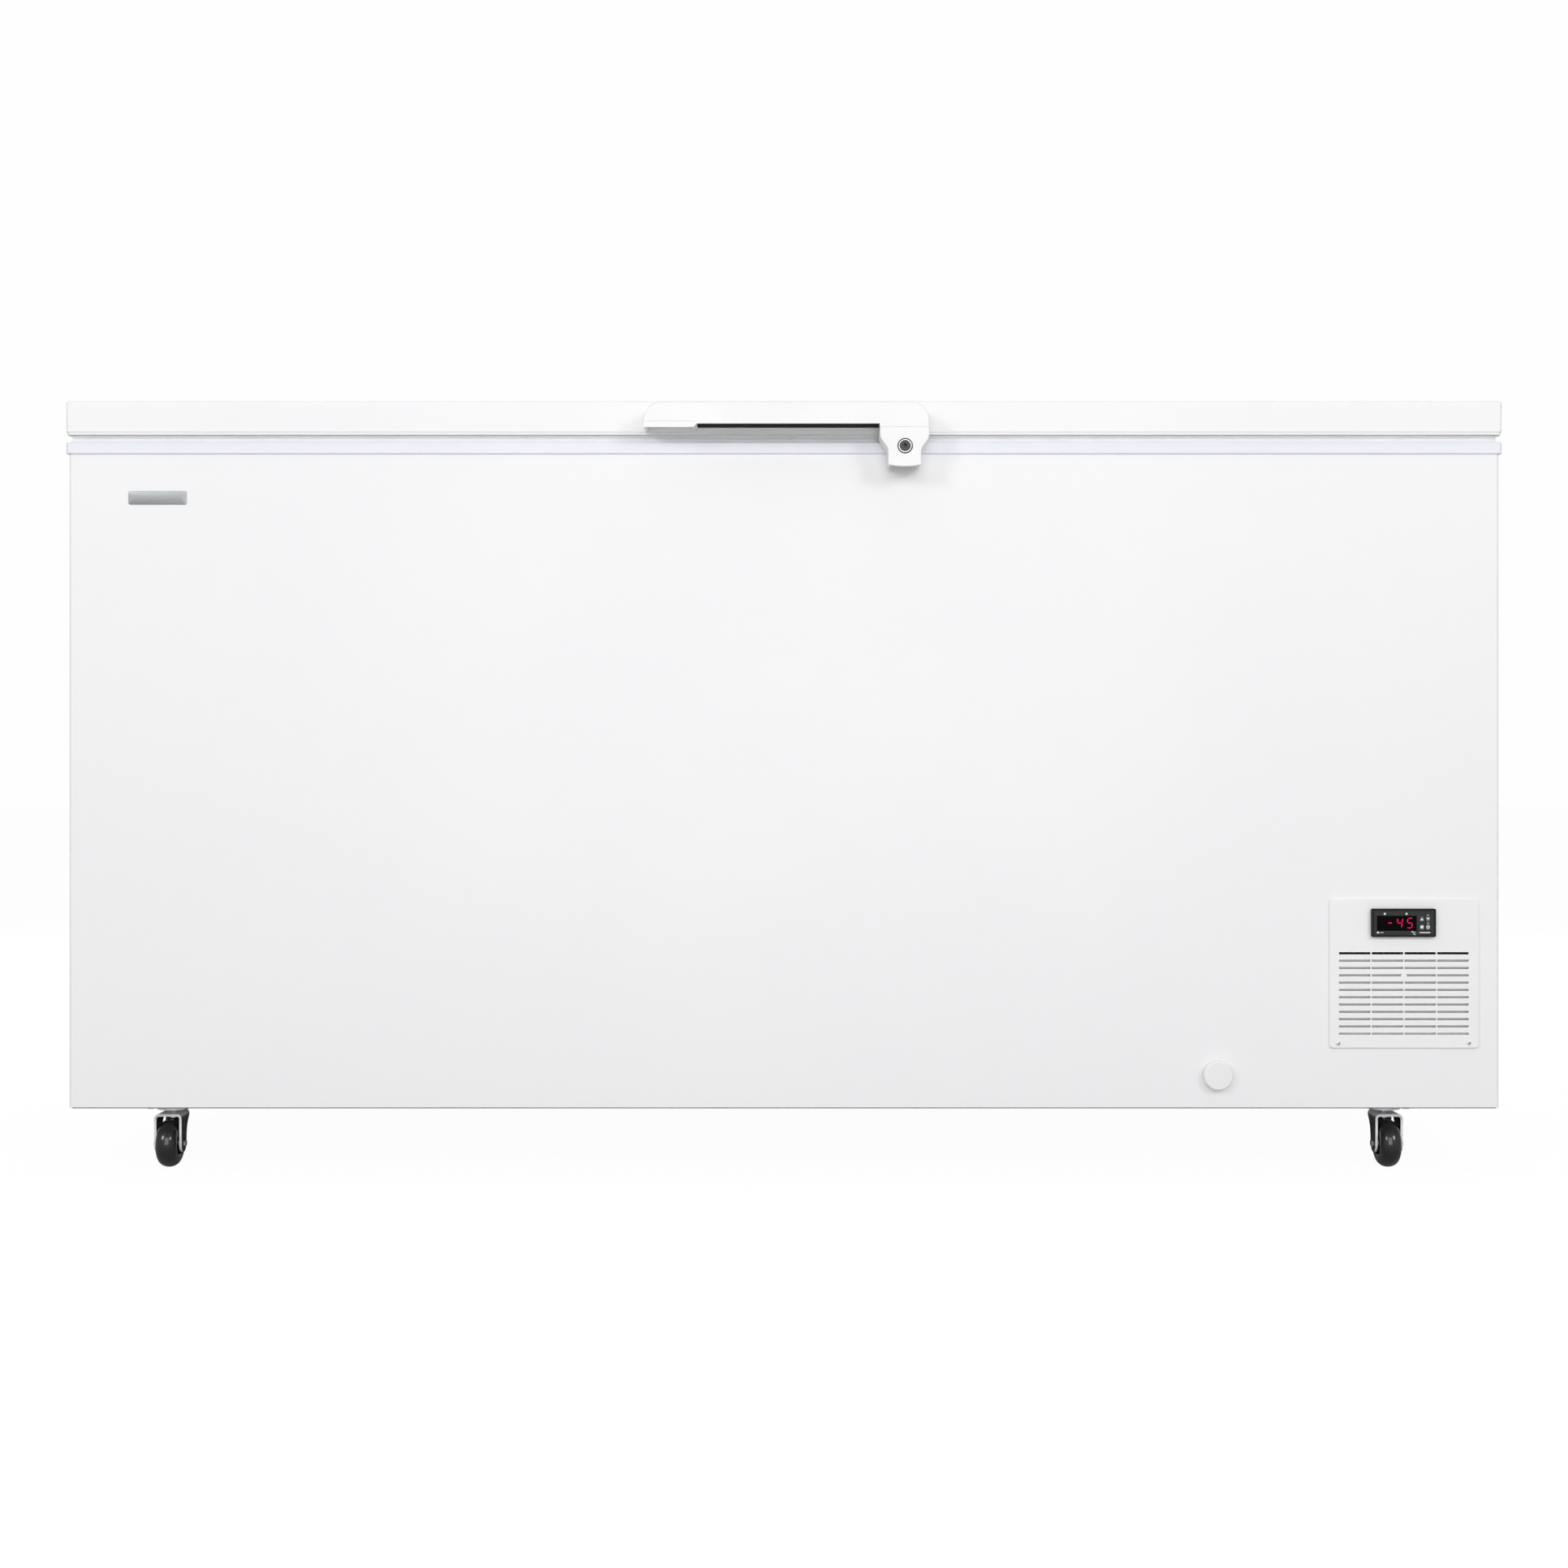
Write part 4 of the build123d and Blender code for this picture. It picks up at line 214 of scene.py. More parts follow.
def made_of(name, pattern, values, relief, shader):
    """A finish: one effect group feeding colour, roughness and relief (its depth in metres), with
    the shader's own sockets holding what is the same all over."""
    finish = bpy.data.materials.new(name)
    finish.use_nodes = True
    nodes, links = finish.node_tree.nodes, finish.node_tree.links
    surface_shader = nodes["Principled BSDF"]
    for label, value in shader.items():
        surface_shader.inputs[label].default_value = value
    worked = nodes.new("ShaderNodeGroup")
    worked.node_tree = pattern
    for label, value in values.items():
        socket = worked.inputs[label]
        socket.default_value = (*value, 1.0) if socket.type == "RGBA" else value
    links.new(worked.outputs["Colour"], surface_shader.inputs["Base Color"])
    links.new(worked.outputs["Roughness"], surface_shader.inputs["Roughness"])
    bump = nodes.new("ShaderNodeBump")
    bump.inputs["Strength"].default_value = 1.0
    bump.inputs["Distance"].default_value = relief
    links.new(worked.outputs["Height"], bump.inputs["Height"])
    links.new(bump.outputs["Normal"], surface_shader.inputs["Normal"])
    return finish


def dress(finish, *cad_pieces):
    """Gives CAD pieces a finish, through their own material slots."""
    for cad_piece in cad_pieces:
        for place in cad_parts[cad_piece].material_slots:
            place.material = finish


white_enamel = made_of(
    "white_enamel", satin_skin,
    {"Colour": (0.870, 0.870, 0.880), "Patch Colour": (0.862, 0.862, 0.874), "Smooth": 0.42,
     "Rough": 0.50, "Patch Scale": 3.0, "Grain Scale": 420.0}, 0.00003,
    {"Coat Weight": 0.12, "Coat Roughness": 0.20})
dress(white_enamel, "cabinet_shell")

# Zinc coating freezes in flat crystals, each a slightly different grey.
SPANGLE_IN = {"Light": "Color", "Dark": "Color", "Smooth": "Float", "Rough": "Float",
              "Crystal Scale": "Float"}
zinc_spangle, spangle_in, spangle_out = effect("zinc_spangle", SPANGLE_IN, SKIN_OUT)
spangle_place = zinc_spangle.nodes.new("ShaderNodeTexCoord").outputs["Object"]
crystals = zinc_spangle.nodes.new("ShaderNodeTexVoronoi")
zinc_spangle.links.new(spangle_place, crystals.inputs["Vector"])
zinc_spangle.links.new(spangle_in.outputs["Crystal Scale"], crystals.inputs["Scale"])
crystal_grey = zinc_spangle.nodes.new("ShaderNodeSeparateColor")
zinc_spangle.links.new(crystals.outputs["Color"], crystal_grey.inputs["Color"])
zinc_spangle.links.new(
    blend_colours(zinc_spangle, crystal_grey.outputs["Red"], spangle_in.outputs["Light"],
                  spangle_in.outputs["Dark"]), spangle_out.inputs["Colour"])
zinc_spangle.links.new(
    spread(zinc_spangle, crystal_grey.outputs["Green"], 0.0, 1.0, spangle_in.outputs["Smooth"],
           spangle_in.outputs["Rough"]), spangle_out.inputs["Roughness"])
zinc_spangle.links.new(crystals.outputs["Distance"], spangle_out.inputs["Height"])

galvanised_steel = made_of(
    "galvanised_steel", zinc_spangle,
    {"Light": (0.72, 0.73, 0.74), "Dark": (0.52, 0.53, 0.55), "Smooth": 0.32, "Rough": 0.52,
     "Crystal Scale": 140.0}, 0.00001, {"Metallic": 0.85})
dress(galvanised_steel, "base_pan", "compressor_tray", "bay_partition", "fan_shroud")

# The back is the same steel with a thin grey-white primer.
primed_steel = made_of(
    "primed_steel", zinc_spangle,
    {"Light": (0.80, 0.80, 0.80), "Dark": (0.74, 0.74, 0.75), "Smooth": 0.42, "Rough": 0.55,
     "Crystal Scale": 90.0}, 0.00001, {"Metallic": 0.15})
dress(primed_steel, "back_panel", "rear_grille")

# ================= tub, collar and foam =================
# The tub is one stepped liner of white-coated sheet. A plastic collar clips over its rim and the
# case, and foam poured between them holds everything rigid.
liner_white = made_of(
    "liner_white", satin_skin,
    {"Colour": (0.86, 0.865, 0.87), "Patch Colour": (0.84, 0.85, 0.86), "Smooth": 0.28,
     "Rough": 0.42, "Patch Scale": 5.0, "Grain Scale": 160.0}, 0.00012, {"Coat Weight": 0.1})
dress(liner_white, "inner_liner")

collar_plastic = made_of(
    "collar_plastic", satin_skin,
    {"Colour": (0.80, 0.81, 0.875), "Patch Colour": (0.79, 0.80, 0.868), "Smooth": 0.36,
     "Rough": 0.46, "Patch Scale": 7.0, "Grain Scale": 900.0}, 0.00002, {})
dress(collar_plastic, "top_collar")

poured_foam = made_of(
    "poured_foam", satin_skin,
    {"Colour": (0.80, 0.68, 0.42), "Patch Colour": (0.70, 0.56, 0.32), "Smooth": 0.85,
     "Rough": 0.95, "Patch Scale": 30.0, "Grain Scale": 600.0}, 0.0006, {})
dress(poured_foam, "insulation_foam", "lid_foam")

rolled_aluminium = made_of(
    "rolled_aluminium", zinc_spangle,
    {"Light": (0.80, 0.80, 0.81), "Dark": (0.72, 0.72, 0.73), "Smooth": 0.25, "Rough": 0.4,
     "Crystal Scale": 500.0}, 0.00001, {"Metallic": 1.0})
dress(rolled_aluminium, "evaporator_coil", "condenser_fins")

# ================= lid =================
# The lid is a shallow enamelled tray over foam, closed below by a plastic frame and a vacuum-formed
# inner panel that drops a little way into the tub.
dress(white_enamel, "lid_skin")
lid_plastic = made_of(
    "lid_plastic", satin_skin,
    {"Colour": (0.83, 0.83, 0.84), "Patch Colour": (0.81, 0.815, 0.825), "Smooth": 0.35,
     "Rough": 0.5, "Patch Scale": 6.0, "Grain Scale": 700.0}, 0.00004, {})
dress(lid_plastic, "lid_liner", "lid_frame")


CREASE, FLAT_CREASE, TURNED_CREASE, BOLT_CREASE = 38.0, 30.0, 32.0, 25.0
WHEEL_CREASE, STRAP_CREASE = 50.0, 60.0
MERGE, TINY_EDGE = 2e-6, 1e-7


def surface(name, points, crease=CREASE):
    """A grid of points (rows, columns, xyz) as a mesh: the cell between neighbouring rows and
    columns is one four-sided face. Where the grid's ends meet, their points are merged, so that
    seams and poles close, and edges sharper than the crease angle, in degrees, stay sharp."""
    rows, columns = points.shape[:2]
    corner = np.arange(rows * columns).reshape(rows, columns)
    faces = np.stack([corner[:-1, :-1], corner[1:, :-1], corner[1:, 1:], corner[:-1, 1:]], axis=-1)
    faces = faces.reshape(-1, 4)
    mesh = bpy.data.meshes.new(name)
    mesh.vertices.add(rows * columns)
    mesh.vertices.foreach_set("co", points.reshape(-1).astype(np.float32))
    mesh.loops.add(faces.size)
    mesh.loops.foreach_set("vertex_index", faces.reshape(-1).astype(np.int32))
    mesh.polygons.add(len(faces))
    mesh.polygons.foreach_set("loop_start", np.arange(0, faces.size, 4, dtype=np.int32))
    mesh.update(calc_edges=True)
    return closed(name, mesh, crease)


def closed(name, mesh, crease=CREASE):
    """Merges a mesh's doubled points, turns its faces outwards and makes it a smooth object."""
    shell = bmesh.new()
    shell.from_mesh(mesh)
    bmesh.ops.remove_doubles(shell, verts=shell.verts, dist=MERGE)
    bmesh.ops.dissolve_degenerate(shell, dist=TINY_EDGE, edges=shell.edges)
    bmesh.ops.recalc_face_normals(shell, faces=shell.faces)
    shell.to_mesh(mesh)
    shell.free()
    mesh.polygons.foreach_set("use_smooth", np.ones(len(mesh.polygons), dtype=bool))
    mesh.set_sharp_from_angle(angle=math.radians(crease))
    piece = bpy.data.objects.new(name, mesh)
    bpy.context.scene.collection.objects.link(piece)
    return piece


def place_piece(piece, finish, body):
    """Gives a new piece its finish, its body and the record's material slot."""
    piece.data.materials.append(finish)
    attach(piece, body)


# ================= gasket =================
# One endless white vinyl seal, its four lengths welded at the mitres. A heel clips into the lid
# frame, a thin bellows gives, and the tube below holds the magnet strip.


def softened(corners, radius, steps=5):
    """A closed outline whose corners are rounded: at each corner a curve leaves one side and joins
    the next, as the quadratic Bezier on the corner, at most a third of either side long."""
    corners = np.asarray(corners, float)
    before, after = np.roll(corners, 1, axis=0), np.roll(corners, -1, axis=0)
    to_before, to_after = before - corners, after - corners
    length_before = np.linalg.norm(to_before, axis=1, keepdims=True)
    length_after = np.linalg.norm(to_after, axis=1, keepdims=True)
    start = corners + to_before / length_before * np.minimum(radius, length_before / 3)
    end = corners + to_after / length_after * np.minimum(radius, length_after / 3)
    t = np.linspace(0.0, 1.0, steps)[None, :, None]
    curve = (1 - t) ** 2 * start[:, None] + 2 * t * (1 - t) * corners[:, None] + t ** 2 * end[:, None]
    return curve.reshape(-1, 2)


gasket_low, gasket_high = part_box("lid_gasket")
TUBE_IN, TUBE_OUT, GASKET_WIDTH = 0.0008, 0.0245, 0.0250
GASKET_HEEL, SEAL_ROUND = 0.0018, 0.0012
NECK_UP, NECK_TOP_UP, NECK_OUT, BELLOWS_OUT = 0.0046, 0.0056, 0.0130, 0.0160
g0, g1 = gasket_low.z, gasket_high.z
gasket_section = softened(
    [(TUBE_IN, g0), (TUBE_OUT, g0), (TUBE_OUT, g0 + 0.0042), (NECK_OUT, g0 + NECK_UP),
     (BELLOWS_OUT, g0 + NECK_TOP_UP), (NECK_OUT, g1 - GASKET_HEEL), (GASKET_WIDTH, g1 - GASKET_HEEL),
     (GASKET_WIDTH, g1), (0.0, g1), (0.0, g1 - GASKET_HEEL), (0.0022, g1 - GASKET_HEEL - 0.0004),
     (0.0010, g0 + NECK_TOP_UP), (0.0026, g0 + NECK_UP), (TUBE_IN, g0 + 0.0040)], SEAL_ROUND)
gasket_section = np.vstack([gasket_section, gasket_section[:1]])
mitres = np.array([(-1, -1), (1, -1), (1, 1), (-1, 1), (-1, -1)], float)
inset, level = gasket_section[:, 0], gasket_section[:, 1]
gasket_points = np.stack([
    mitres[:, :1] * (gasket_high.x - inset)[None, :], mitres[:, 1:] * (gasket_high.y - inset)[None, :],
    np.broadcast_to(level, (5, len(level)))], axis=-1)
vinyl_white = made_of(
    "vinyl_white", satin_skin,
    {"Colour": (0.84, 0.84, 0.85), "Patch Colour": (0.80, 0.80, 0.80), "Smooth": 0.42, "Rough": 0.55,
     "Patch Scale": 25.0, "Grain Scale": 1500.0}, 0.00002, {})
gasket = surface("magnetic_gasket", gasket_points)
place_piece(gasket, vinyl_white, "lid")
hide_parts("lid_gasket")

# ================= hinges =================
# Three sprung hinges, stamped from bright zinc-plated plate, hold the lid open. A wound spring
# turns on each pin between the ears.

# Plating keeps the fine lines that stamping and turning leave in the metal.
DRAWN_IN = {"Colour": "Color", "Worn Colour": "Color", "Smooth": "Float", "Rough": "Float",
            "Line Scale": "Float", "Along": "Vector"}
drawn_metal, drawn_in, drawn_out = effect("drawn_metal", DRAWN_IN, SKIN_OUT)
drawn_place = drawn_metal.nodes.new("ShaderNodeTexCoord").outputs["Object"]
stretched = drawn_metal.nodes.new("ShaderNodeVectorMath")
stretched.operation = "MULTIPLY"
drawn_metal.links.new(drawn_place, stretched.inputs[0])
drawn_metal.links.new(drawn_in.outputs["Along"], stretched.inputs[1])
drawn_lines = noise(drawn_metal, stretched.outputs[0], drawn_in.outputs["Line Scale"], PATCH_DETAIL)
drawn_share = spread(drawn_metal, drawn_lines, *LINE_RANGE, 0.0, 1.0)
drawn_metal.links.new(
    blend_colours(drawn_metal, drawn_share, drawn_in.outputs["Colour"],
                  drawn_in.outputs["Worn Colour"]), drawn_out.inputs["Colour"])
drawn_metal.links.new(
    spread(drawn_metal, drawn_lines, *SHEEN_RANGE, drawn_in.outputs["Smooth"],
           drawn_in.outputs["Rough"]), drawn_out.inputs["Roughness"])
drawn_metal.links.new(drawn_lines, drawn_out.inputs["Height"])

bright_zinc = made_of(
    "bright_zinc", drawn_metal,
    {"Colour": (0.86, 0.87, 0.88), "Worn Colour": (0.70, 0.71, 0.73), "Smooth": 0.14, "Rough": 0.28,
     "Line Scale": 240.0, "Along": (1.0, 1.0, 0.15)}, 0.00001, {"Metallic": 1.0})
dress(bright_zinc, "hinge_cabinet_brackets", "hinge_lid_brackets", "hinge_pins", "hinge_springs",
      "lock_keeper", "lock_cam", "castor_plates", "castor_bolts")

# ================= handle and lock =================
# A hollow moulded bar with a closing cap at its left end, screwed to the lid. The lock housing
# hangs from its right end, with a chrome cylinder pushed in from the front.
handle_plastic = made_of(
    "handle_plastic", satin_skin,
    {"Colour": (0.85, 0.85, 0.85), "Patch Colour": (0.84, 0.84, 0.838), "Smooth": 0.30, "Rough": 0.40,
     "Patch Scale": 20.0, "Grain Scale": 1400.0}, 0.00002, {"Coat Weight": 0.15, "Coat Roughness": 0.2})
dress(handle_plastic, "handle_bar", "handle_end_cap", "lock_housing", "drain_cap", "drain_spout")


def length_x(name, section, x0, x1):
    """A closed section of (y, z) corners, drawn along X from x0 to x1 with flat ends."""
    count = len(section)
    corners = [(x0, y, z) for y, z in section] + [(x1, y, z) for y, z in section]
    sides = [(i, (i + 1) % count, count + (i + 1) % count, count + i) for i in range(count)]
    mesh = bpy.data.meshes.new(name)
    mesh.from_pydata(corners, [], [tuple(range(count)), tuple(range(count, 2 * count)), *sides])
    return closed(name, mesh, FLAT_CREASE)


# A near-black sheet lines the walls of the finger hollow, between the end cap and the lock: painted
# shade, standing in for the shade inside the hollow.
bar_low, bar_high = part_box("handle_bar")
cap_high, housing_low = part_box("handle_end_cap")[1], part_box("lock_housing")[0]
BAR_WALL, BAR_UNDERSIDE, LINING_T, LINING_UP = 0.0030, 0.934, 0.0005, 0.0004
wall_front, wall_back = bar_low.y + BAR_WALL, bar_high.y - BAR_WALL
lining_low, lining_high = BAR_UNDERSIDE + LINING_UP, bar_high.z - BAR_WALL
lining_section = [
    (wall_front, lining_low), (wall_front, lining_high), (wall_back, lining_high),
    (wall_back, lining_low), (wall_back - LINING_T, lining_low),
    (wall_back - LINING_T, lining_high - LINING_T), (wall_front + LINING_T, lining_high - LINING_T),
    (wall_front + LINING_T, lining_low)]
# Near-black colour painted as the shade in the finger hollow.
hollow_shade_lining = made_of(
    "hollow_shade_lining", satin_skin,
    {"Colour": (0.030, 0.030, 0.032), "Patch Colour": (0.045, 0.045, 0.047), "Smooth": 0.6,
     "Rough": 0.75, "Patch Scale": 60.0, "Grain Scale": 1200.0}, 0.00005, {})
lining = length_x("grip_hollow_shade", lining_section, cap_high.x, housing_low.x)
place_piece(lining, hollow_shade_lining, "lid")

lock_chrome = made_of(
    "lock_chrome", drawn_metal,
    {"Colour": (0.86, 0.86, 0.87), "Worn Colour": (0.76, 0.76, 0.78), "Smooth": 0.05, "Rough": 0.12,
     "Line Scale": 900.0, "Along": (1.0, 1.0, 1.0)}, 0.000004, {"Metallic": 1.0})
dark_nickel_and_rim_shade = made_of(
    "dark_nickel_and_rim_shade", drawn_metal,
    {"Colour": (0.025, 0.025, 0.026), "Worn Colour": (0.05, 0.05, 0.052), "Smooth": 0.12, "Rough": 0.25,
     "Line Scale": 1200.0, "Along": (1.0, 1.0, 1.0)}, 0.000004, {"Metallic": 1.0})
dress(dark_nickel_and_rim_shade, "lock_plug")


def turned_y(name, centre, profile, turns=96):
    """A closed profile (radius, depth along Y) swept once round a line parallel to Y."""
    profile = np.vstack([profile, profile[:1]])
    turn = np.linspace(0.0, 2 * np.pi, turns + 1)[:, None]
    radius, depth = profile[None, :, 0], np.broadcast_to(profile[:, 1], (turns + 1, len(profile)))
    return surface(name, np.stack([centre[0] + radius * np.cos(turn), depth,
                                   centre[1] + radius * np.sin(turn)], axis=-1), TURNED_CREASE)


# The cylinder's rim is cushioned, and a black ring shows all round it: painted shade, standing in for the
# shade in the gap round the rim.
sleeve_low, sleeve_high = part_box("lock_barrel")
plug_low, plug_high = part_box("lock_plug")
SLEEVE_R = (sleeve_high.x - sleeve_low.x) / 2
plug_r = (plug_high.x - plug_low.x) / 2
rim_face = sleeve_low.y
RING_IN, RING_OUT = plug_r + 0.0008, SLEEVE_R - 0.0014
RIM_EASE, RIM_UP, RIM_DEEP, SHADE_RING_FACE, SHADE_RING_SEAT = 0.0003, 0.0001, 0.0005, 0.0004, 0.0006
SHADE_RING_DEEP, PLUG_GAP = 0.0010, 0.0001
sleeve_profile = np.array([
    (RING_IN, sleeve_high.y), (RING_IN, rim_face + RIM_DEEP), (RING_IN + RIM_EASE, rim_face + RIM_UP),
    ((RING_IN + RING_OUT) / 2, rim_face), (RING_OUT - RIM_EASE, rim_face + RIM_UP),
    (RING_OUT, rim_face + RIM_DEEP), (RING_OUT, sleeve_high.y)])
rim_shade_profile = np.array([
    (plug_r + PLUG_GAP, rim_face + SHADE_RING_DEEP), (plug_r + PLUG_GAP, rim_face + SHADE_RING_SEAT),
    (RING_OUT, rim_face + SHADE_RING_SEAT), (RING_OUT, rim_face + SHADE_RING_FACE),
    (SLEEVE_R - RIM_EASE, rim_face + SHADE_RING_FACE), (SLEEVE_R, rim_face + SHADE_RING_SEAT),
    (SLEEVE_R, rim_face + SHADE_RING_DEEP)])
lock_centre = ((sleeve_low.x + sleeve_high.x) / 2, (sleeve_low.z + sleeve_high.z) / 2)
sleeve = turned_y("lock_sleeve", lock_centre, sleeve_profile)
place_piece(sleeve, lock_chrome, "lid")
# Near-black ring painted as the shade round the cylinder's rim.
rim_shade = turned_y("lock_rim_shade", lock_centre, rim_shade_profile)
place_piece(rim_shade, dark_nickel_and_rim_shade, "lid")
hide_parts("lock_barrel")

# ================= bottom edge shade ===========
# A thin near-black bead along the folded bottom edge of the front is painted shade, standing in for the
# shade along that edge.
BEAD_H, BEAD_PROUD, BEAD_SHORT = 0.0011, 0.0002, 0.0045
shade_bead_section = [(cabinet_low.y, cabinet_low.z), (cabinet_low.y, cabinet_low.z + BEAD_H),
                (cabinet_low.y - BEAD_PROUD, cabinet_low.z + BEAD_H - BEAD_PROUD),
                (cabinet_low.y - BEAD_PROUD, cabinet_low.z)]
bottom_edge_shade = made_of(
    "bottom_edge_shade", satin_skin,
    {"Colour": (0.08, 0.08, 0.085), "Patch Colour": (0.13, 0.13, 0.135), "Smooth": 0.5, "Rough": 0.65,
     "Patch Scale": 14.0, "Grain Scale": 1500.0}, 0.00002, {})
shade_bead = length_x("front_bottom_shade_bead", shade_bead_section, cabinet_low.x + BEAD_SHORT,
                cabinet_high.x - BEAD_SHORT)
place_piece(shade_bead, bottom_edge_shade, "cabinet")

# ================= screws =================
# Zinc-plated pan-head screws with a cross recess, on the panel, the grille, the handle and hinges.
HEAD_RINGS, HEAD_SIDES = 26, 48
SIDE_SHARE, CROWN_SHARE, SIDE_RISE = 0.45, 0.893, 0.7
ARM_SHARE, REACH_SHARE, RECESS_SHARE, ARM_SLOPE = 0.20, 0.66, 0.85, 0.4


def screw_head(centre, radius, height, outward):
    """One head as a grid: from its rim at the seat up a rounded side to the crown and in to the
    centre, sunk along two crossed arms. outward is -1 for a front face and 1 for a rear one."""
    t = np.linspace(0.0, 1.0, HEAD_RINGS)[:, None]
    turn = np.linspace(0.0, 2 * np.pi, HEAD_SIDES + 1)[None, :]
    rise = np.clip(t / SIDE_SHARE, 0.0, 1.0)
    on_side = t < SIDE_SHARE
    out = np.where(on_side, radius * np.sqrt(1 - (SIDE_SHARE * rise) ** 2),
                   radius * CROWN_SHARE * (1 - t) / (1 - SIDE_SHARE))
    crown = SIDE_RISE + (1 - SIDE_RISE) * (1 - (out / radius / CROWN_SHARE) ** 2)
    dome = height * np.where(on_side, SIDE_RISE * rise, crown)
    across, up = out * np.cos(turn), out * np.sin(turn)
    arm, reach = ARM_SHARE * radius, REACH_SHARE * radius
    lengthways, sideways = np.abs(across), np.abs(up)
    slope = ARM_SLOPE * arm
    slot_one = np.clip((arm - lengthways) / slope, 0, 1) * np.clip((reach - sideways) / arm, 0, 1)
    slot_two = np.clip((arm - sideways) / slope, 0, 1) * np.clip((reach - lengthways) / arm, 0, 1)
    depth = RECESS_SHARE * height * np.maximum(slot_one, slot_two)
    x, y, z = centre
    return np.stack([x + across, y + outward * (dome - depth), z + up], axis=-1)


def screw_set(name, heads):
    """Many heads in one mesh, each closed by a flat seat."""
    joined = bmesh.new()
    for head in heads:
        seat = np.broadcast_to(head[0].mean(axis=0), head[:1].shape)
        one = surface("one_head", np.concatenate([seat, head]))
        joined.from_mesh(one.data)
        bpy.data.objects.remove(one)
    mesh = bpy.data.meshes.new(name)
    joined.to_mesh(mesh)
    joined.free()
    return closed(name, mesh)


def heads(places, face, radius, height, outward):
    """Heads of one size at these (x, z) places on a face."""
    return [screw_head((x, face, z), radius, height, outward) for x, z in places]


panel_face, grille_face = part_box("controller_bezel")[1].y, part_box("rear_grille")[1].y
KEEPER_FACE, CABINET_PLATE_FACE, LID_PLATE_FACE = -0.3370, 0.3345, 0.3375
PANEL_HEAD, KEEPER_HEAD, GRILLE_HEAD = (0.00275, 0.0015), (0.0026, 0.0004), (0.0035, 0.0020)
HINGE_HEAD, LID_HEAD = (0.0045, 0.0025), (0.0040, 0.0025)
FRONT, REAR = -1, 1
PANEL_SCREWS, KEEPER_SCREWS = [(0.6943, 0.1640), (0.8578, 0.1644)], [(0.139, 0.909), (0.152, 0.909)]
GRILLE_SCREWS = [(x, z) for x in (0.668, 0.878) for z in (0.110, 0.346)]
HINGES = (-0.6, 0.0, 0.6)
HINGE_SCREWS = [(x + dx, z) for x in HINGES for dx in (-0.015, 0.015) for z in (0.842, 0.872)]
HANDLE_SCREWS = [(x, 0.950) for x in (-0.140, -0.060, 0.050, 0.150)]
LID_HINGE_SCREWS = [(x + dx, 0.952) for x in HINGES for dx in (-0.012, 0.012)]
cabinet_heads = screw_set("cabinet_screw_heads", [
    *heads(PANEL_SCREWS, panel_face, *PANEL_HEAD, FRONT),
    *heads(KEEPER_SCREWS, KEEPER_FACE, *KEEPER_HEAD, FRONT),
    *heads(GRILLE_SCREWS, grille_face, *GRILLE_HEAD, REAR),
    *heads(HINGE_SCREWS, CABINET_PLATE_FACE, *HINGE_HEAD, REAR)])
place_piece(cabinet_heads, bright_zinc, "cabinet")
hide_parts("cabinet_screws")
lid_heads = screw_set("lid_screw_heads", [
    *heads(HANDLE_SCREWS, wall_back, *LID_HEAD, FRONT),
    *heads(LID_HINGE_SCREWS, LID_PLATE_FACE, *LID_HEAD, REAR)])
place_piece(lid_heads, bright_zinc, "lid")
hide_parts("lid_screws")

# ================= front badge =================
# A small plain plate of anodised aluminium, stuck to the upper left of the front.
BADGE_X, BADGE_Z = (-0.822, -0.749), (0.839, 0.856)
BADGE_T, BADGE_CORNER, BADGE_EDGE = 0.0008, 0.0022, 0.0004
NEAR_MIDDLE = 0.98


def rounded_outline(width, height, corner, steps=8):
    """A rounded rectangle about the origin, from the first corner's arc round to its start."""
    quarter = np.linspace(0.0, np.pi / 2, steps)
    centres = np.array([(1, 1), (-1, 1), (-1, -1), (1, -1)]) * (width / 2 - corner, height / 2 - corner)
    turns = quarter[None, :] + np.arange(4)[:, None] * np.pi / 2
    arcs = centres[:, None, :] + corner * np.stack([np.cos(turns), np.sin(turns)], axis=-1)
    loop = arcs.reshape(-1, 2)
    return np.vstack([loop, loop[:1]])


def front_pad(name, centre, size, corner, back, thickness, edge):
    """A flat pad on a front face, as nested rounded outlines: up its side, round a soft edge of the
    given radius, and in to the middle of its face."""
    bend = np.linspace(0.0, np.pi / 2, 5)
    inmost = size[1] / 2 * NEAR_MIDDLE
    insets = np.concatenate([[inmost, 0.0], edge * (1 - np.cos(bend)), [inmost]])
    levels = np.concatenate([[0.0, 0.0], thickness - edge + edge * np.sin(bend), [thickness]])
    loops = []
    for inset_by, lift in zip(insets, levels):
        width, height = size[0] - 2 * inset_by, size[1] - 2 * inset_by
        loop = rounded_outline(width, height, max(corner - inset_by, 0.1 * height, 1e-5))
        loops.append(np.stack([centre[0] + loop[:, 0], np.full(len(loop), back - lift),
                               centre[1] + loop[:, 1]], axis=-1))
    ends = [np.broadcast_to(loop.mean(axis=0), loop.shape) for loop in (loops[0], loops[-1])]
    return surface(name, np.array([ends[0], *loops, ends[1]]))


anodised_grey = made_of(
    "anodised_grey", drawn_metal,
    {"Colour": (0.34, 0.35, 0.36), "Worn Colour": (0.28, 0.29, 0.30), "Smooth": 0.30, "Rough": 0.42,
     "Line Scale": 60.0, "Along": (1.0, 1.0, 30.0)}, 0.00001, {"Metallic": 0.9})
badge = front_pad("front_badge", (sum(BADGE_X) / 2, sum(BADGE_Z) / 2),
                  (BADGE_X[1] - BADGE_X[0], BADGE_Z[1] - BADGE_Z[0]), BADGE_CORNER, cabinet_low.y,
                  BADGE_T, BADGE_EDGE)
place_piece(badge, anodised_grey, "cabinet")

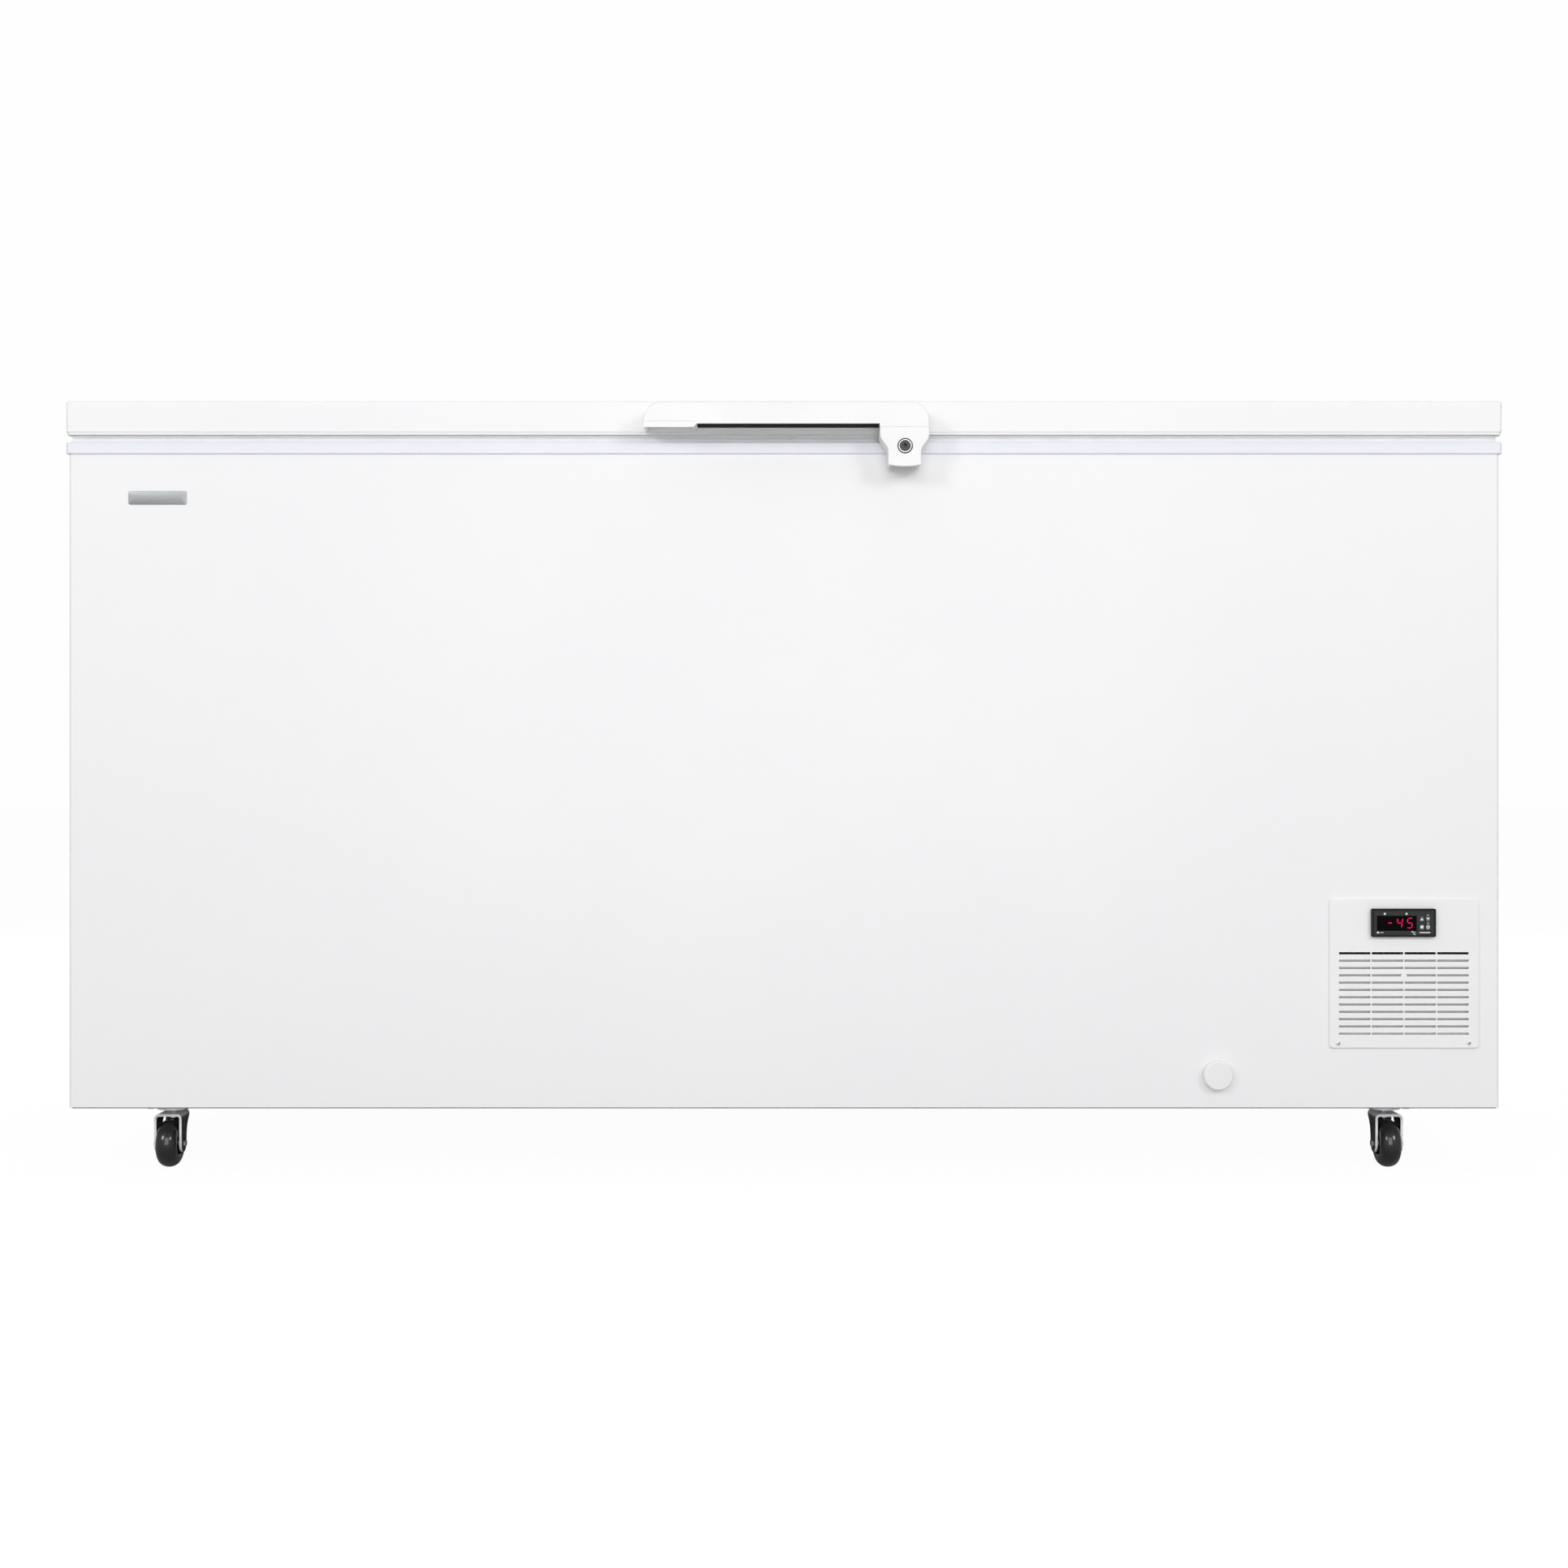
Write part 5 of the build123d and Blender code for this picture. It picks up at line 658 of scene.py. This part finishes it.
# ================= service panel and controller =================
# A moulded panel closes the machine bay. The temperature controller clips through it: a black
# case, a smoked window over red figures, and four rubber buttons.
panel_plastic = made_of(
    "panel_plastic", satin_skin,
    {"Colour": (0.865, 0.865, 0.865), "Patch Colour": (0.855, 0.855, 0.852), "Smooth": 0.42,
     "Rough": 0.52, "Patch Scale": 15.0, "Grain Scale": 1600.0}, 0.00004, {})
dress(panel_plastic, "service_panel")
controller_black = made_of(
    "controller_black", satin_skin,
    {"Colour": (0.012, 0.012, 0.013), "Patch Colour": (0.018, 0.018, 0.019), "Smooth": 0.38,
     "Rough": 0.5, "Patch Scale": 60.0, "Grain Scale": 2600.0}, 0.00004, {"Specular IOR Level": 0.25})
dress(controller_black, "controller_body", "terminal_box")

# The bezel carries a dark grey overlay inside its black rim.
OVERLAY_IN = {"Overlay Colour": "Color", "Rim Colour": "Color", "Smooth": "Float", "Rough": "Float",
              "Centre": "Vector", "Half Size": "Vector", "Grain Scale": "Float"}
overlay_face, overlay_in, overlay_out = effect("overlay_face", OVERLAY_IN, SKIN_OUT)
overlay_place = overlay_face.nodes.new("ShaderNodeTexCoord").outputs["Object"]


def vector_step(tree, operation, first, second=None):
    """One step of vector arithmetic."""
    step = tree.nodes.new("ShaderNodeVectorMath")
    step.operation = operation
    tree.links.new(first, step.inputs[0])
    if second is not None:
        tree.links.new(second, step.inputs[1])
    return step.outputs[0]


from_centre = vector_step(overlay_face, "ABSOLUTE", vector_step(
    overlay_face, "SUBTRACT", overlay_place, overlay_in.outputs["Centre"]))
shares = overlay_face.nodes.new("ShaderNodeSeparateXYZ")
overlay_face.links.new(
    vector_step(overlay_face, "DIVIDE", from_centre, overlay_in.outputs["Half Size"]), shares.inputs[0])
furthest = overlay_face.nodes.new("ShaderNodeMath")
furthest.operation = "MAXIMUM"
overlay_face.links.new(shares.outputs["X"], furthest.inputs[0])
overlay_face.links.new(shares.outputs["Z"], furthest.inputs[1])
on_rim = spread(overlay_face, furthest.outputs[0], 0.985, 1.0, 0.0, 1.0)
overlay_face.links.new(
    blend_colours(overlay_face, on_rim, overlay_in.outputs["Overlay Colour"],
                  overlay_in.outputs["Rim Colour"]), overlay_out.inputs["Colour"])
overlay_face.links.new(
    spread(overlay_face, on_rim, 0.0, 1.0, overlay_in.outputs["Rough"], overlay_in.outputs["Smooth"]),
    overlay_out.inputs["Roughness"])
overlay_face.links.new(noise(overlay_face, overlay_place, overlay_in.outputs["Grain Scale"], 2.0),
                       overlay_out.inputs["Height"])
bezel_low, bezel_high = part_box("controller_bezel")
bezel_face = bezel_low.y
BEZEL_RIM = 0.0028
bezel_middle = (bezel_low + bezel_high) / 2
bezel_half = (bezel_high - bezel_low) / 2
controller_overlay = made_of(
    "controller_overlay", overlay_face,
    {"Overlay Colour": (0.026, 0.029, 0.029), "Rim Colour": (0.008, 0.008, 0.009), "Smooth": 0.35,
     "Rough": 0.5, "Centre": tuple(bezel_middle), "Half Size": (bezel_half.x - BEZEL_RIM, 1.0,
     bezel_half.z - BEZEL_RIM), "Grain Scale": 2600.0}, 0.00003, {"Specular IOR Level": 0.25})
dress(controller_overlay, "controller_bezel")
smoked_window = made_of(
    "smoked_window", satin_skin,
    {"Colour": (0.003, 0.0015, 0.002), "Patch Colour": (0.004, 0.002, 0.003), "Smooth": 0.12,
     "Rough": 0.2, "Patch Scale": 40.0, "Grain Scale": 900.0}, 0.000004, {"Specular IOR Level": 0.06})
dress(smoked_window, "display_window")
button_rubber = made_of(
    "button_rubber", satin_skin,
    {"Colour": (0.055, 0.056, 0.060), "Patch Colour": (0.07, 0.07, 0.075), "Smooth": 0.5, "Rough": 0.62,
     "Patch Scale": 200.0, "Grain Scale": 3000.0}, 0.00003, {})
dress(button_rubber, "button_top_left", "button_top_right", "button_low_left", "button_low_right")

lit_red = made_of(
    "lit_red", satin_skin,
    {"Colour": (0.12, 0.002, 0.012), "Patch Colour": (0.09, 0.002, 0.01), "Smooth": 0.3, "Rough": 0.4,
     "Patch Scale": 300.0, "Grain Scale": 2000.0}, 0.00001,
    {"Emission Color": (0.88, 0.020, 0.125, 1.0), "Emission Strength": 0.85,
     "Specular IOR Level": 0.1})
dress(lit_red, "display_digits")

MARK_T = 0.00012


def printed_marks(name, outlines, face):
    """Thin raised prints on a front face: each outline is a flat polygon with a short wall."""
    corners, faces = [], []
    for outline in outlines:
        count, start = len(outline), len(corners)
        corners += [(x, face, z) for x, z in outline] + [(x, face - MARK_T, z) for x, z in outline]
        faces.append(list(range(start, start + count)))
        faces.append(list(range(start + count, start + 2 * count)))
        faces += [(start + i, start + (i + 1) % count, start + count + (i + 1) % count, start + count + i)
                  for i in range(count)]
    mesh = bpy.data.meshes.new(name)
    mesh.from_pydata(corners, [], faces)
    return closed(name, mesh, FLAT_CREASE)


def arc_band(centre, inner, outer, start, end, steps=14):
    """Part of a flat ring: out along one arc and back along the other, angles in degrees."""
    turn = np.radians(np.linspace(start, end, steps))
    spokes = np.stack([np.cos(turn), np.sin(turn)], axis=-1)
    return [tuple(p) for p in np.vstack([centre + outer * spokes, centre + inner * spokes[::-1]])]


print_white = made_of(
    "print_white", satin_skin,
    {"Colour": (0.80, 0.81, 0.80), "Patch Colour": (0.70, 0.71, 0.70), "Smooth": 0.45, "Rough": 0.6,
     "Patch Scale": 900.0, "Grain Scale": 4000.0}, 0.00001, {})
window_low, window_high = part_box("display_window")
DEGREE_AT = np.array((window_high.x - 0.0056, window_low.z - 0.0012))
CEE_AT = DEGREE_AT + (0.0031, -0.0019)
DEGREE_RADII, CEE_RADII = (0.0003, 0.0009), (0.0012, 0.0019)
celsius = [arc_band(DEGREE_AT, *DEGREE_RADII, 0, 180), arc_band(DEGREE_AT, *DEGREE_RADII, 180, 360),
           arc_band(CEE_AT, *CEE_RADII, 45, 315)]
celsius_mark = printed_marks("celsius_mark", celsius, bezel_face)
place_piece(celsius_mark, print_white, "cabinet")

# Two indicator lenses sit above the window, over the running and the defrosting lamps.
LENS_ABOVE, LENS_SIZE, LENS_CORNER, LENS_T, LENS_EDGE = 0.0025, (0.0028, 0.0028), 0.00135, 0.00035, 0.0002
for side, across in (("left", window_low.x + 0.0098), ("right", window_high.x - 0.0128)):
    indicator = front_pad(f"indicator_lens_{side}", (across, window_high.z + LENS_ABOVE), LENS_SIZE,
                          LENS_CORNER, bezel_face, LENS_T, LENS_EDGE)
    place_piece(indicator, print_white, "cabinet")

# Plain bars and squares stand where such a controller is printed.
across_low, row_low = window_low.x, bezel_low.z + 0.0057


def plain_bar(x0, x1, z, height):
    """A printed bar about a height, from x0 to x1."""
    return [(x0, z - height / 2), (x1, z - height / 2), (x1, z + height / 2), (x0, z + height / 2)]


LEFT_MARKS = [(0.0, 0.0024, 0.0022), (0.0034, 0.0048, 0.0009), (0.0056, 0.0080, 0.0009)]
DASH_HALF, DASH_ABOVE, DASH_H, RIGHT_MARK_H = 0.0014, 0.0010, 0.0006, 0.0013
plain_marks = [plain_bar(across_low + start, across_low + end, row_low, height)
               for start, end, height in LEFT_MARKS]
for spot in ("top_right", "low_right"):
    button_low, button_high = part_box(f"button_{spot}")
    middle = (button_low.x + button_high.x) / 2
    dash_z = button_high.z + DASH_ABOVE
    plain_marks.append(plain_bar(middle - DASH_HALF, middle + DASH_HALF, dash_z, DASH_H))
row_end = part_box("button_top_right")[1].x
plain_marks.append(plain_bar(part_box("button_top_left")[0].x, row_end, row_low, RIGHT_MARK_H))
plain_print = printed_marks("controller_plain_marks", plain_marks, bezel_face)
place_piece(plain_print, print_white, "cabinet")

# Each button carries a light printed sign: up, down, a set square and a standby ring.
ICON = 0.0017


def button_signs(middle):
    """The four signs about a button's middle."""
    x, z = middle
    up = [(x - 1.3 * ICON, z - ICON), (x + 1.3 * ICON, z - ICON), (x, z + ICON)]
    down = [(px, 2 * z - pz) for px, pz in up]
    square = [tuple(p) for p in rounded_outline(2.2 * ICON, 2.2 * ICON, 0.4 * ICON)[:-1] + (x, z)]
    ring = arc_band(np.array((x, z)), 0.75 * ICON, 1.3 * ICON, 120, 420, 26)
    bar = [(x - 0.22 * ICON, z), (x + 0.22 * ICON, z), (x + 0.22 * ICON, z + 1.5 * ICON),
           (x - 0.22 * ICON, z + 1.5 * ICON)]
    return {"top_left": [up], "top_right": [down[::-1]], "low_left": [square], "low_right": [ring, bar]}


for spot in ("top_left", "top_right", "low_left", "low_right"):
    button_low, button_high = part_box(f"button_{spot}")
    signs = button_signs(((button_low.x + button_high.x) / 2, (button_low.z + button_high.z) / 2))
    sign = printed_marks(f"button_sign_{spot}", signs[spot], button_low.y + 0.00002)
    place_piece(sign, print_white, f"button_{spot}")

# ================= drain plug =================
# A soft bung closes the drain from inside the tub.
grey_rubber = made_of(
    "grey_rubber", satin_skin,
    {"Colour": (0.42, 0.42, 0.42), "Patch Colour": (0.36, 0.36, 0.36), "Smooth": 0.55, "Rough": 0.7,
     "Patch Scale": 80.0, "Grain Scale": 2000.0}, 0.00003, {})
dress(grey_rubber, "inner_drain_plug", "compressor_mounts")

# ================= machine bay =================
# The compressor stands on rubber mounts in a steel tray. A fan draws air through the condenser
# behind the front slots, and copper pipes join them to the tub's coil.
# The same black also paints the shade on each castor's folded return.
compressor_black = made_of(
    "compressor_black", satin_skin,
    {"Colour": (0.022, 0.022, 0.023), "Patch Colour": (0.035, 0.034, 0.033), "Smooth": 0.25,
     "Rough": 0.42, "Patch Scale": 30.0, "Grain Scale": 500.0}, 0.00004, {"Coat Weight": 0.4})
dress(compressor_black, "compressor_shell", "fan_motor")
copper_tube = made_of(
    "copper_tube", drawn_metal,
    {"Colour": (0.78, 0.40, 0.25), "Worn Colour": (0.46, 0.22, 0.14), "Smooth": 0.22, "Rough": 0.45,
     "Line Scale": 60.0, "Along": (1.0, 1.0, 1.0)}, 0.00002, {"Metallic": 1.0})
dress(copper_tube, "refrigerant_pipes", "condenser_coil")
fan_plastic = made_of(
    "fan_plastic", satin_skin,
    {"Colour": (0.05, 0.05, 0.052), "Patch Colour": (0.075, 0.074, 0.072), "Smooth": 0.4, "Rough": 0.55,
     "Patch Scale": 60.0, "Grain Scale": 1500.0}, 0.00003, {})
dress(fan_plastic, "fan_blade", "cord_gland")

# ================= castors =================
# Four light swivel castors. Each fork is one bent strap of plated steel under a ball race, and the
# wheel is a glossy moulded tyre and hub on a bolt.


def turned_x(centre, along, radius, turns):
    """A profile (distance along X, radius) swept once round an axle parallel to X."""
    turn = np.linspace(0.0, 2 * np.pi, turns + 1)[:, None]
    x = centre[0] + np.broadcast_to(along, (turns + 1, np.shape(along)[-1]))
    return np.stack([x, centre[1] + radius * np.cos(turn), centre[2] + radius * np.sin(turn)], axis=-1)


WHEEL_R, TYRE_HALF, HUB_HALF, BORE_R = 0.030, 0.0133, 0.0134, 0.0042
TYRE_CREST, TYRE_BULGE = 0.55, 0.45
WEB_HALF, RIB_LIFT, RIBS, RIB_WIDTH = 0.0060, 0.0045, 6, 0.20
WHEEL_TURNS, CROWN_POWER = 120, 0.75


def castor_wheel(centre):
    """The tyre's section is a round crown: a share of the wheel's radius, plus a power of
    the cosine. Inside it the hub steps down to a dished web that six ribs cross, each a bell curve
    of the turn."""
    crown = np.linspace(-np.pi / 2, np.pi / 2, 45)
    tyre_x = TYRE_HALF * np.sin(crown)
    tyre_r = WHEEL_R * (TYRE_CREST + TYRE_BULGE * np.cos(crown) ** CROWN_POWER)
    inner_r = np.linspace(WHEEL_R * TYRE_CREST - 0.0004, BORE_R, 34)
    steps_r = [BORE_R, 0.0068, 0.0082, 0.0132, 0.0146, 0.0162]
    steps_x = [HUB_HALF, HUB_HALF, WEB_HALF, WEB_HALF, 0.0124, 0.0129]
    inner_x = np.interp(inner_r, steps_r, steps_x)
    turn = np.linspace(0.0, 2 * np.pi, WHEEL_TURNS + 1)[:, None]
    in_web = np.clip((inner_r - 0.0075) / 0.002, 0, 1) * np.clip((0.0142 - inner_r) / 0.002, 0, 1)
    rib = RIB_LIFT * in_web * np.exp(-(np.sin(RIBS / 2 * turn) / RIB_WIDTH) ** 2)
    side = inner_x + rib
    tyre = np.broadcast_to(tyre_x, (WHEEL_TURNS + 1, len(tyre_x)))
    along = np.concatenate([-side[:, ::-1], tyre, side, -side[:, -1:]], axis=1)
    radius = np.concatenate([inner_r[::-1], tyre_r, inner_r, [BORE_R]])
    return turned_x(centre, along, radius, WHEEL_TURNS)


STRAP_T, STRAP_BEND, CROWN_TOP, FOOT_R = 0.0030, 0.0045, 0.0682, 0.0113
REAR_LEAN, CROWN_BULGE, FOOT_LEAST, LEG_ROWS = 0.0180, 0.0055, 0.02, 30
FORK_HALF, BOLT_HIGH, BOLT_FLATS = 0.0175, 0.0026, 0.0046
FOLD_Z, FOLD_W, FOLD_H, FOLD_BACK = 0.0595, 0.0285, 0.0130, 0.0292
FOLD_T, FOLD_CORNER, FOLD_EDGE, EASED_WIDTH = 0.0020, 0.0015, 0.0003, 0.0006


def fork_strap(centre_x, axle, crown_top, half_width):
    """A strap bent to an arch: up one leg, round a bend, over the crown and down. Its front edge
    is upright, its rear edge leans back as it rises, and each foot is round about the axle."""
    leg_x = half_width - STRAP_T / 2
    top = crown_top - STRAP_T / 2
    foot = axle[1] - FOOT_R
    leg = foot + (top - STRAP_BEND - foot) * np.linspace(0.0, 1.0, LEG_ROWS) ** 1.5
    bend = np.linspace(0.0, np.pi / 2, 8)[1:]
    half_x = np.concatenate([np.full(LEG_ROWS, leg_x), leg_x - STRAP_BEND * (1 - np.cos(bend)),
                             np.linspace(leg_x - STRAP_BEND, 0.0, 9)[1:]])
    half_z = np.concatenate([leg, top - STRAP_BEND * (1 - np.sin(bend)), np.full(8, top)])
    x = np.concatenate([-half_x, half_x[-2::-1]])
    z = np.concatenate([half_z, half_z[-2::-1]])
    drop = np.clip((axle[1] - z) / FOOT_R, 0.0, 1.0)
    round_foot = FOOT_R * np.maximum(np.sqrt(1 - drop ** 2), FOOT_LEAST)
    lean = REAR_LEAN * np.clip((z - axle[1]) / (top - axle[1]), 0.0, 1.0) ** 3
    crown_bulge = CROWN_BULGE * np.clip(1 - (x / leg_x) ** 2, 0.0, 1.0) * (z > top - STRAP_BEND)
    front = axle[0] - round_foot
    rear = axle[0] + round_foot + lean + crown_bulge
    across = np.linspace(0.0, 1.0, 13)[None, :]
    y = front[:, None] + (rear - front)[:, None] * across
    return np.stack([np.broadcast_to((centre_x + x)[:, None], y.shape), y,
                     np.broadcast_to(z[:, None], y.shape)], axis=-1)


def hex_bolt(centre, start, end, flats):
    """A hexagon head along X: its radius is the flat's distance over the cosine of the angle from
    the nearest flat, and the outer face has a turned chamfer."""
    turn = np.linspace(0.0, 2 * np.pi, 73)[:, None]
    hexagon = flats / np.cos((turn + np.pi / 6) % (np.pi / 3) - np.pi / 6)
    share = np.array([0.0, 0.97, 1.0, 1.0, 0.92, 0.30, 0.0])[None, :]
    along = np.array([0.0, 0.0, 0.08, 0.78, 1.0, 1.0, 1.0]) * (end - start) + start
    ring = hexagon * share
    ring[:, 4] = np.minimum(ring[:, 4], flats * 0.97)
    return turned_x(centre, along, ring, 72)


# The strap's colour is painted light and shade by facing: its flat sides, facing along X, are painted
# near black as shade and dark reflection, and its front edges and crown near white as the lamps'
# reflection.
FACING_LIGHT_SHADE_IN = {"Side Colour": "Color", "Edge Colour": "Color", "Smooth": "Float", "Rough": "Float",
             "Grain Scale": "Float"}
facing_light_shade, facing_light_in, facing_light_out = effect("facing_light_shade", FACING_LIGHT_SHADE_IN, SKIN_OUT)
facing_light_coords = facing_light_shade.nodes.new("ShaderNodeTexCoord")
facing = facing_light_shade.nodes.new("ShaderNodeSeparateXYZ")
facing_light_shade.links.new(vector_step(facing_light_shade, "ABSOLUTE", facing_light_coords.outputs["Normal"]),
                      facing.inputs[0])
on_side = spread(facing_light_shade, facing.outputs["X"], 0.80, 0.97, 0.0, 1.0)
facing_light_shade.links.new(
    blend_colours(facing_light_shade, on_side, facing_light_in.outputs["Edge Colour"],
                  facing_light_in.outputs["Side Colour"]), facing_light_out.inputs["Colour"])
facing_light_shade.links.new(
    spread(facing_light_shade, on_side, 0.0, 1.0, facing_light_in.outputs["Smooth"], facing_light_in.outputs["Rough"]),
    facing_light_out.inputs["Roughness"])
facing_light_shade.links.new(noise(facing_light_shade, facing_light_coords.outputs["Object"],
                            facing_light_in.outputs["Grain Scale"], 2.0), facing_light_out.inputs["Height"])
# Near-black sides are painted shade and dark reflection; near-white edges and crown are a painted
# reflection of the lamps.
light_and_shade_strap = made_of(
    "light_and_shade_strap", facing_light_shade,
    {"Side Colour": (0.030, 0.030, 0.030), "Edge Colour": (0.93, 0.93, 0.93), "Smooth": 0.42,
     "Rough": 0.40, "Grain Scale": 900.0}, 0.000008, {"Metallic": 0.2})

castor_black = made_of(
    "castor_black", satin_skin,
    {"Colour": (0.005, 0.005, 0.005), "Patch Colour": (0.010, 0.010, 0.010), "Smooth": 0.36,
     "Rough": 0.48, "Patch Scale": 70.0, "Grain Scale": 500.0}, 0.00004,
    {"Specular IOR Level": 0.25, "Coat Weight": 1.0, "Coat Roughness": 0.12})
for end in ("front", "rear"):
    for side in ("left", "right"):
        wheel_low, wheel_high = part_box(f"castor_wheel_{end}_{side}")
        hub = (wheel_low + wheel_high) / 2
        wheel = surface(f"castor_tyre_{end}_{side}", castor_wheel(hub), WHEEL_CREASE)
        place_piece(wheel, castor_black, f"castor_wheel_{end}_{side}")
        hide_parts(f"castor_wheel_{end}_{side}")

        body = f"castor_fork_{end}_{side}"
        strap = surface(f"castor_strap_{end}_{side}",
                        fork_strap(hub.x, (hub.y, hub.z), CROWN_TOP, FORK_HALF), STRAP_CREASE)
        thick = strap.modifiers.new("plate", "SOLIDIFY")
        thick.thickness = STRAP_T
        thick.offset = 0.0
        eased = strap.modifiers.new("eased_edges", "BEVEL")
        eased.width = EASED_WIDTH
        eased.segments = 2
        eased.limit_method = "ANGLE"
        place_piece(strap, light_and_shade_strap, body)
        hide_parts(body)
        # A folded return behind the crown, of the same plated steel, is painted black as the shade over
        # the tyre.
        fold = front_pad(f"castor_shade_fold_{end}_{side}", (hub.x, FOLD_Z), (FOLD_W, FOLD_H), FOLD_CORNER,
                         hub.y + FOLD_BACK, FOLD_T, FOLD_EDGE)
        place_piece(fold, compressor_black, body)
        for face, seat, tip in (("left", -FORK_HALF, -FORK_HALF - BOLT_HIGH),
                                ("right", FORK_HALF, FORK_HALF + BOLT_HIGH)):
            bolt = surface(f"castor_axle_{face}_{end}_{side}",
                           hex_bolt(hub, seat, tip, BOLT_FLATS), BOLT_CREASE)
            place_piece(bolt, bright_zinc, body)
